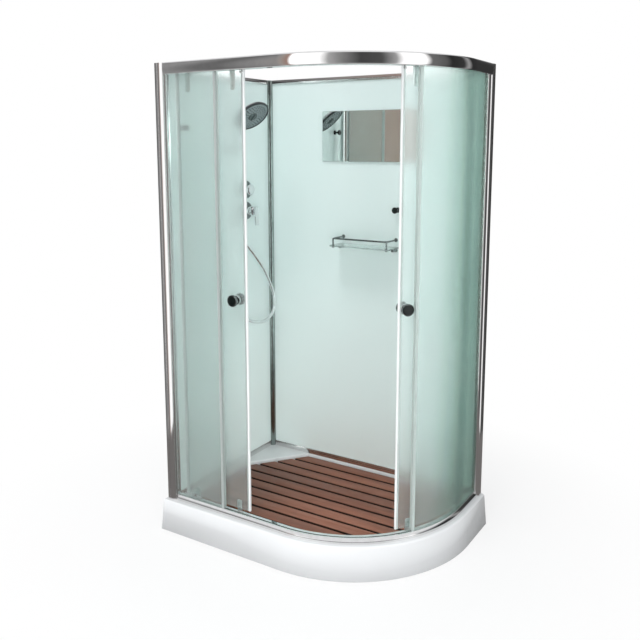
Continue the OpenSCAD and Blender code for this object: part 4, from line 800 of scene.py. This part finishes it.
bm = bmesh.new()
block(bm, (shelf_w, shelf_d, shelf_t), moved(shelf_x, shelf_y, shelf_z - shelf_t / 2))
upright = [e for e in bm.edges if abs(e.verts[0].co.z - e.verts[1].co.z) > shelf_t / 2]
rounded(bm, [e for e in upright if e.verts[0].co.y < shelf_y], 0.012, 8)
soften(bm, 0.0012, 2, 50)
finished(bm, "shelf_glass_polished", clear_glass, "cabin", ["shelf_glass"], crease=18)
bm = bmesh.new()
for x in (shelf_x - post_x, shelf_x + post_x):
    turned(bm, [(0, 0), (0.0085, 0), (0.0085, 0.003), (0.0075, 0.0042), (0.006, 0.0046), (0.006, 0.038), (0.005, 0.04),
                (0, 0.04)], on_back_wall(x, shelf_z - shelf_t - arm_h))
    block(bm, (0.012, arm_d, arm_h), moved(x, 0.3485, shelf_z - shelf_t - arm_h / 2))
soften(bm, 0.0006, 2, 50)
finished(bm, "shelf_arms", smoked_chrome, "cabin", ["shelf_brackets"])
bm = bmesh.new()
for k in (-1, 1):
    x = shelf_x + k * post_x
    turned(bm, [(0, 0), (0.006, 0), (0.006, 0.0015), (0.0036, 0.003), (0.0036, guard_h)],
           moved(x, post_y, shelf_z), 32)
    turned(bm, [(0, -0.005), (0.005, -0.005), (0.006, -0.004), (0.006, 0), (0.003, 0), (0.003, 0.007)],
           moved(x, post_y, shelf_z - shelf_t), 32)
    turned(bm, [(0, 0), (0.009, 0), (0.009, 0.002), (0.0078, 0.003), (bar_r, 0.0034), (bar_r, 0.084)],
           on_back_wall(x, bar_z), 32)
    bend = moved(x, post_y + bend_r, bar_z) @ Matrix.Rotation(math.pi / 2, 4, "X")
    circle = bmesh.ops.create_circle(bm, segments=24, radius=bar_r, cap_ends=False, matrix=bend)["verts"]
    edges = swept(bm, circle + edges_of(circle), (x - k * bend_r, post_y + bend_r, bar_z), -k * math.pi / 2, 10)[1]
    pushed(bm, edges, (-k * (post_x - bend_r), 0, 0))
finished(bm, "shelf_guard_rail", smoked_chrome, "cabin", ["shelf_rail"], crease=45)

# Robe hooks: turned knobs in the same dark gloss as the door knobs, one beside the shelf on the
# back wall and one on the left wall near the doorway.
hook_profile = [(0, 0), (0.012, 0), (0.012, 0.0028), (0.01, 0.0048), (0.0055, 0.0062), (0.005, 0.01),
                (0.005, 0.021), (0.008, 0.0238), (0.0128, 0.0256), (0.014, 0.0285), (0.014, 0.0325), (0.0122, 0.035),
                (0, 0.0352)]


def on_left_wall(y, z):
    """A place on the left wall, for a piece that is made along Z."""
    return moved(wall_x, y, z) @ Matrix.Rotation(math.pi / 2, 4, "Y")


bm = bmesh.new()
turned(bm, hook_profile, on_back_wall(0.1525, 1.388))
turned(bm, hook_profile, on_left_wall(-0.26, 1.745))
finished(bm, "robe_hook_pair", dark_knob, "cabin", ["robe_hooks"])

# Mixer: a brass block behind the wall, and in front of it a round plate, a body, a cap that turns
# and a long flat lever that hangs in front and tips on a pin in the cap.
mixer_y, mixer_z, diverter_z = 0.170, 1.369, 1.468
plate_face = [(0.042, 0), (0.042, 0.0035), (0.0405, 0.0062), (0.037, 0.0078), (0.033, 0.008), (0.0325, 0.0074),
              (0.0318, 0.008)]
cast_brass = plated("cast_brass", (0.62, 0.46, 0.2), (0.48, 0.34, 0.14), 0.34, scale=160)
coated("valve_block", cast_brass, 0.0008)
satin_chrome = plated("satin_chrome", (0.68, 0.69, 0.7), (0.56, 0.57, 0.58), 0.09)
bm = bmesh.new()
turned(bm, [(0.0212, 0)] + plate_face + [(0.0212, 0.008), (0.0212, 0)], on_left_wall(mixer_y, mixer_z), 72)
finished(bm, "mixer_plate_turned", smoked_chrome, "cabin", ["mixer_plate"])
bm = bmesh.new()
turned(bm, [(0, -0.006), (0.015, -0.006), (0.015, 0.0), (0.021, 0.0), (0.021, 0.0085), (0.0205, 0.0092),
            (0.0205, 0.0106), (0.021, 0.0113), (0.021, 0.0305), (0.0195, 0.032), (0, 0.032)],
       on_left_wall(mixer_y, mixer_z), 64)
finished(bm, "mixer_body_turned", chrome, "cabin", ["mixer_body"])
coated("mixer_cap", chrome, 0.0007)
coated("mixer_lever", chrome, 0.0022)

# Diverter: the same plate above the mixer, with a fluted knob that turns to send water to the
# hand shower.
bm = bmesh.new()
turned(bm, [(0, -0.006), (0.012, -0.006), (0.012, 0)] + plate_face + [(0.008, 0.008), (0.008, 0.02), (0, 0.02)],
       on_left_wall(mixer_y, diverter_z), 72)
finished(bm, "diverter_plate_turned", smoked_chrome, "cabin", ["diverter_plate"])
coated("diverter_knob", chrome, 0.001)

# Hose outlet and handset holder: chromed brass. The outlet is an elbow on its own small plate, and
# the holder is a short arm with an open ring that the handle drops into.
coated("hose_outlet", chrome, 0.0008)
coated("handset_holder", chrome, 0.001)

# Hand shower: one chromed plastic moulding with a slim handle, a bend and a flat domed head, which
# carries a grey face with rings of soft nozzles and a disc in the middle that selects the spray.
coated("handset_body", satin_chrome)
spray_a, head_r, bend_up, neck_back = math.radians(128.6), 0.078, 0.107, 0.016
handle_turn = Matrix.Rotation(math.radians(-10), 4, "Z") @ Matrix.Rotation(math.radians(8), 4, "Y")
head_out = Vector((neck_back * math.sin(spray_a) - head_r * math.cos(spray_a), 0,
                   bend_up + head_r * math.sin(spray_a) + neck_back * math.cos(spray_a)))
head_at = Matrix.Translation(holder_at) @ handle_turn @ Matrix.Translation(head_out) @ Matrix.Rotation(spray_a, 4, "Y")
face_plastic = plain_finish("grey_face_plastic", (60, 4), [(0.3, (0.21, 0.27, 0.28)), (0.75, (0.3, 0.36, 0.37))], 0.28,
                            ((400, 2), 0.08, 0.0002))
bm = bmesh.new()
turned(bm, [(0.0223, 0.0042), (0.074, 0.0042), (0.074, 0.0058), (0.0725, 0.0068), (0.068, 0.0073), (0.067, 0.0066),
            (0.066, 0.0074), (0.046, 0.0079), (0.045, 0.0072), (0.044, 0.008), (0.0245, 0.0083), (0.0223, 0.0078),
            (0.0223, 0.0042)], head_at, 96)
finished(bm, "handset_face_plate", face_plastic, "handset", ["handset_face"])
nozzle_rubber = plain_finish("black_nozzle_rubber", (90, 3),
                             [(0.3, (0.012, 0.016, 0.018)), (0.75, (0.03, 0.036, 0.038))], 0.45,
                             ((600, 2), 0.08, 0.0002))
nozzle_rings = ((0.03, 14), (0.0395, 18), (0.051, 24), (0.0605, 30))
bm = bmesh.new()
for r, count in nozzle_rings:
    for k in range(count):
        spot = head_at @ Matrix.Rotation(2 * math.pi * k / count, 4, "Z") @ moved(r, 0, 0.007)
        turned(bm, [(0.0028, 0), (0.0027, 0.0014), (0.002, 0.0026), (0, 0.0027)], spot, 10)
finished(bm, "handset_nozzles", nozzle_rubber, "handset")
bm = bmesh.new()
turned(bm, [(0.0738, 0.006), (0.0738, 0.008), (0.0755, 0.0092), (0.0785, 0.0088), (0.0803, 0.0066),
            (0.0803, 0.0000), (0.079, -0.0015), (0.0779, 0.006), (0.0738, 0.006)], head_at, 96)
finished(bm, "handset_bumper_ring", nozzle_rubber, "handset")
dark_plastic = plain_finish("dark_selector_plastic", (50, 3),
                            [(0.3, (0.075, 0.1, 0.1)), (0.75, (0.12, 0.15, 0.15))], 0.22,
                            ((300, 2), 0.06, 0.0002))
coated("spray_selector", dark_plastic, 0.0006)
coated("hose_nuts", chrome, 0.0006)

# Studio: a pale floor that keeps the cabin's shadow, a plain room that metal and glass show, and
# three soft lamps: low ones at the front left and the front right, and one high above the open top.
floor_finish, tree, surface = shading("pale_floor")
fed(tree, surface, {"Base Color": (0.86, 0.86, 0.86, 1), "Roughness": 0.7})


def glowing(tree, kind, colour, strength=1.0):
    """Light that the floor or the surround gives off."""
    return added(tree, kind, {"Color": colour, "Strength": strength}).outputs[0]


def either(tree, amount, one, other):
    """The one finish at 0 and the other at 1."""
    return added(tree, "MixShader", {0: amount, 1: one, 2: other}).outputs[0]


floor_r, fade_from, fade_to, least_glow = 1.75, 0.80, 1.65, 0.70
rays = added(tree, "LightPath").outputs
away = added(tree, "VectorMath", {0: added(tree, "TexCoord").outputs["Object"]})
away.operation = "LENGTH"
seen = reckoned(tree, "ADD", rays["Is Camera Ray"], rays["Is Transmission Ray"], clamp=True)
glow_share = reckoned(tree, "MULTIPLY", seen, ranged(tree, away.outputs["Value"], fade_from, fade_to, least_glow))
brighter = reckoned(tree, "MULTIPLY_ADD", rays["Is Transmission Ray"], 0.9, 1.0)
lit = either(tree, glow_share, surface.outputs[0], glowing(tree, "Emission", (1, 1, 1, 1), brighter))
dim = glowing(tree, "Emission", (0.2, 0.19, 0.185, 1))
fed(tree, tree.nodes["Material Output"], {"Surface": either(tree, rays["Is Glossy Ray"], lit, dim)})
bm = bmesh.new()
bmesh.ops.create_circle(bm, cap_ends=True, segments=64, radius=floor_r)
mesh = bpy.data.meshes.new("studio_floor")
bm.to_mesh(mesh)
bm.free()
mesh.materials.append(floor_finish)
floor = bpy.data.objects.new("studio_floor", mesh)
scene.collection.objects.link(floor)

world = bpy.data.worlds.new("studio")
world.use_nodes = True
scene.world = world
tree = world.node_tree
light = tree.nodes["Background"]
fed(tree, light, {"Color": (0.97, 0.985, 1.0, 1), "Strength": 0.74})
rays = added(tree, "LightPath").outputs
split = added(tree, "SeparateXYZ", {0: added(tree, "TexCoord").outputs["Generated"]})
height = split.outputs["Z"]
bearing = reckoned(tree, "ARCTAN2", split.outputs["X"], reckoned(tree, "MULTIPLY", split.outputs["Y"], -1.0))
round_room = ranged(tree, bearing, -math.pi, math.pi)


def by_bearing(stops, strength):
    """A surround whose tone changes with the bearing, in degrees from the front."""
    tone = tones(tree, round_room, [((a + 180) / 360, v) for a, v in stops])
    return glowing(tree, "Background", tone, strength)


panels = [(-180, 0.42), (-150, 0.08), (-66, 0.03), (-54, 0.14), (-44, 0.22), (-40, 0.09), (-36, 0.2),
          (-31, (0.26, 0.23, 0.21)), (-25, (0.26, 0.17, 0.14)), (-22.5, 1.0), (2, 1.0), (10, 0.3), (22, 0.16),
          (36, 0.045), (54, 0.06), (66, 0.28), (73, 1.0), (92, 1.0), (98, 0.12), (113, 0.08), (120, 0.02),
          (136, 0.03), (143, 0.26), (149, 0.02), (162, 0.03), (172, 0.14), (180, 0.42)]
behind_glass = [(-180, 0.57), (-115, 0.6), (-70, 1.0), (-56, 1.0), (-46, (0.15, 0.14, 0.135)),
                (-30, (0.14, 0.13, 0.125)), (-27, (0.12, 0.065, 0.045)), (-14, (0.12, 0.075, 0.055)), (-7, 0.42),
                (12, 0.42), (22, 1.0), (60, 1.0), (110, 0.6), (180, 0.57)]
ceiling = glowing(tree, "Background", (0.8, 0.81, 0.82, 1))
ground_tone = glowing(tree, "Background", (0.55, 0.55, 0.55, 1))
reflected = either(tree, ranged(tree, height, 0.45, 0.65, ease="SMOOTHSTEP"), by_bearing(panels, 1.35), ceiling)
reflected = either(tree, ranged(tree, height, -0.45, -0.7, ease="SMOOTHSTEP"), reflected, ground_tone)
shown = light.outputs[0]
for ray, surround in (("Is Glossy Ray", reflected), ("Is Transmission Ray", by_bearing(behind_glass, 2.95)),
                      ("Is Camera Ray", glowing(tree, "Background", (1, 1, 1, 1)))):
    shown = either(tree, rays[ray], shown, surround)
fed(tree, tree.nodes["World Output"], {"Surface": shown})

for name, at, aim, size, watts in (
        ("front_left_lamp", (-1.9, -3.8, 1.1), (0, 0, 0.7), (1.6, 1.6), 42),
        ("front_right_lamp", (2.6, -2.9, 1.2), (0.1, 0, 0.7), (1.6, 1.6), 46),
        ("top_lamp", (0.1, -2.4, 7.0), (0.02, 0.2, 0.8), (1.8, 1.8), 146)):
    lamp = bpy.data.objects.new(name, bpy.data.lights.new(name, "AREA"))
    scene.collection.objects.link(lamp)
    lamp.data.shape = "RECTANGLE"
    lamp.data.size, lamp.data.size_y = size
    lamp.data.energy = watts
    lamp.visible_camera = lamp.visible_glossy = False
    lamp.visible_transmission = name != "front_left_lamp"
    lamp.location = at
    lamp.rotation_euler = (Vector(aim) - Vector(at)).to_track_quat("-Z", "Y").to_euler()

scene.view_settings.view_transform = "Standard"
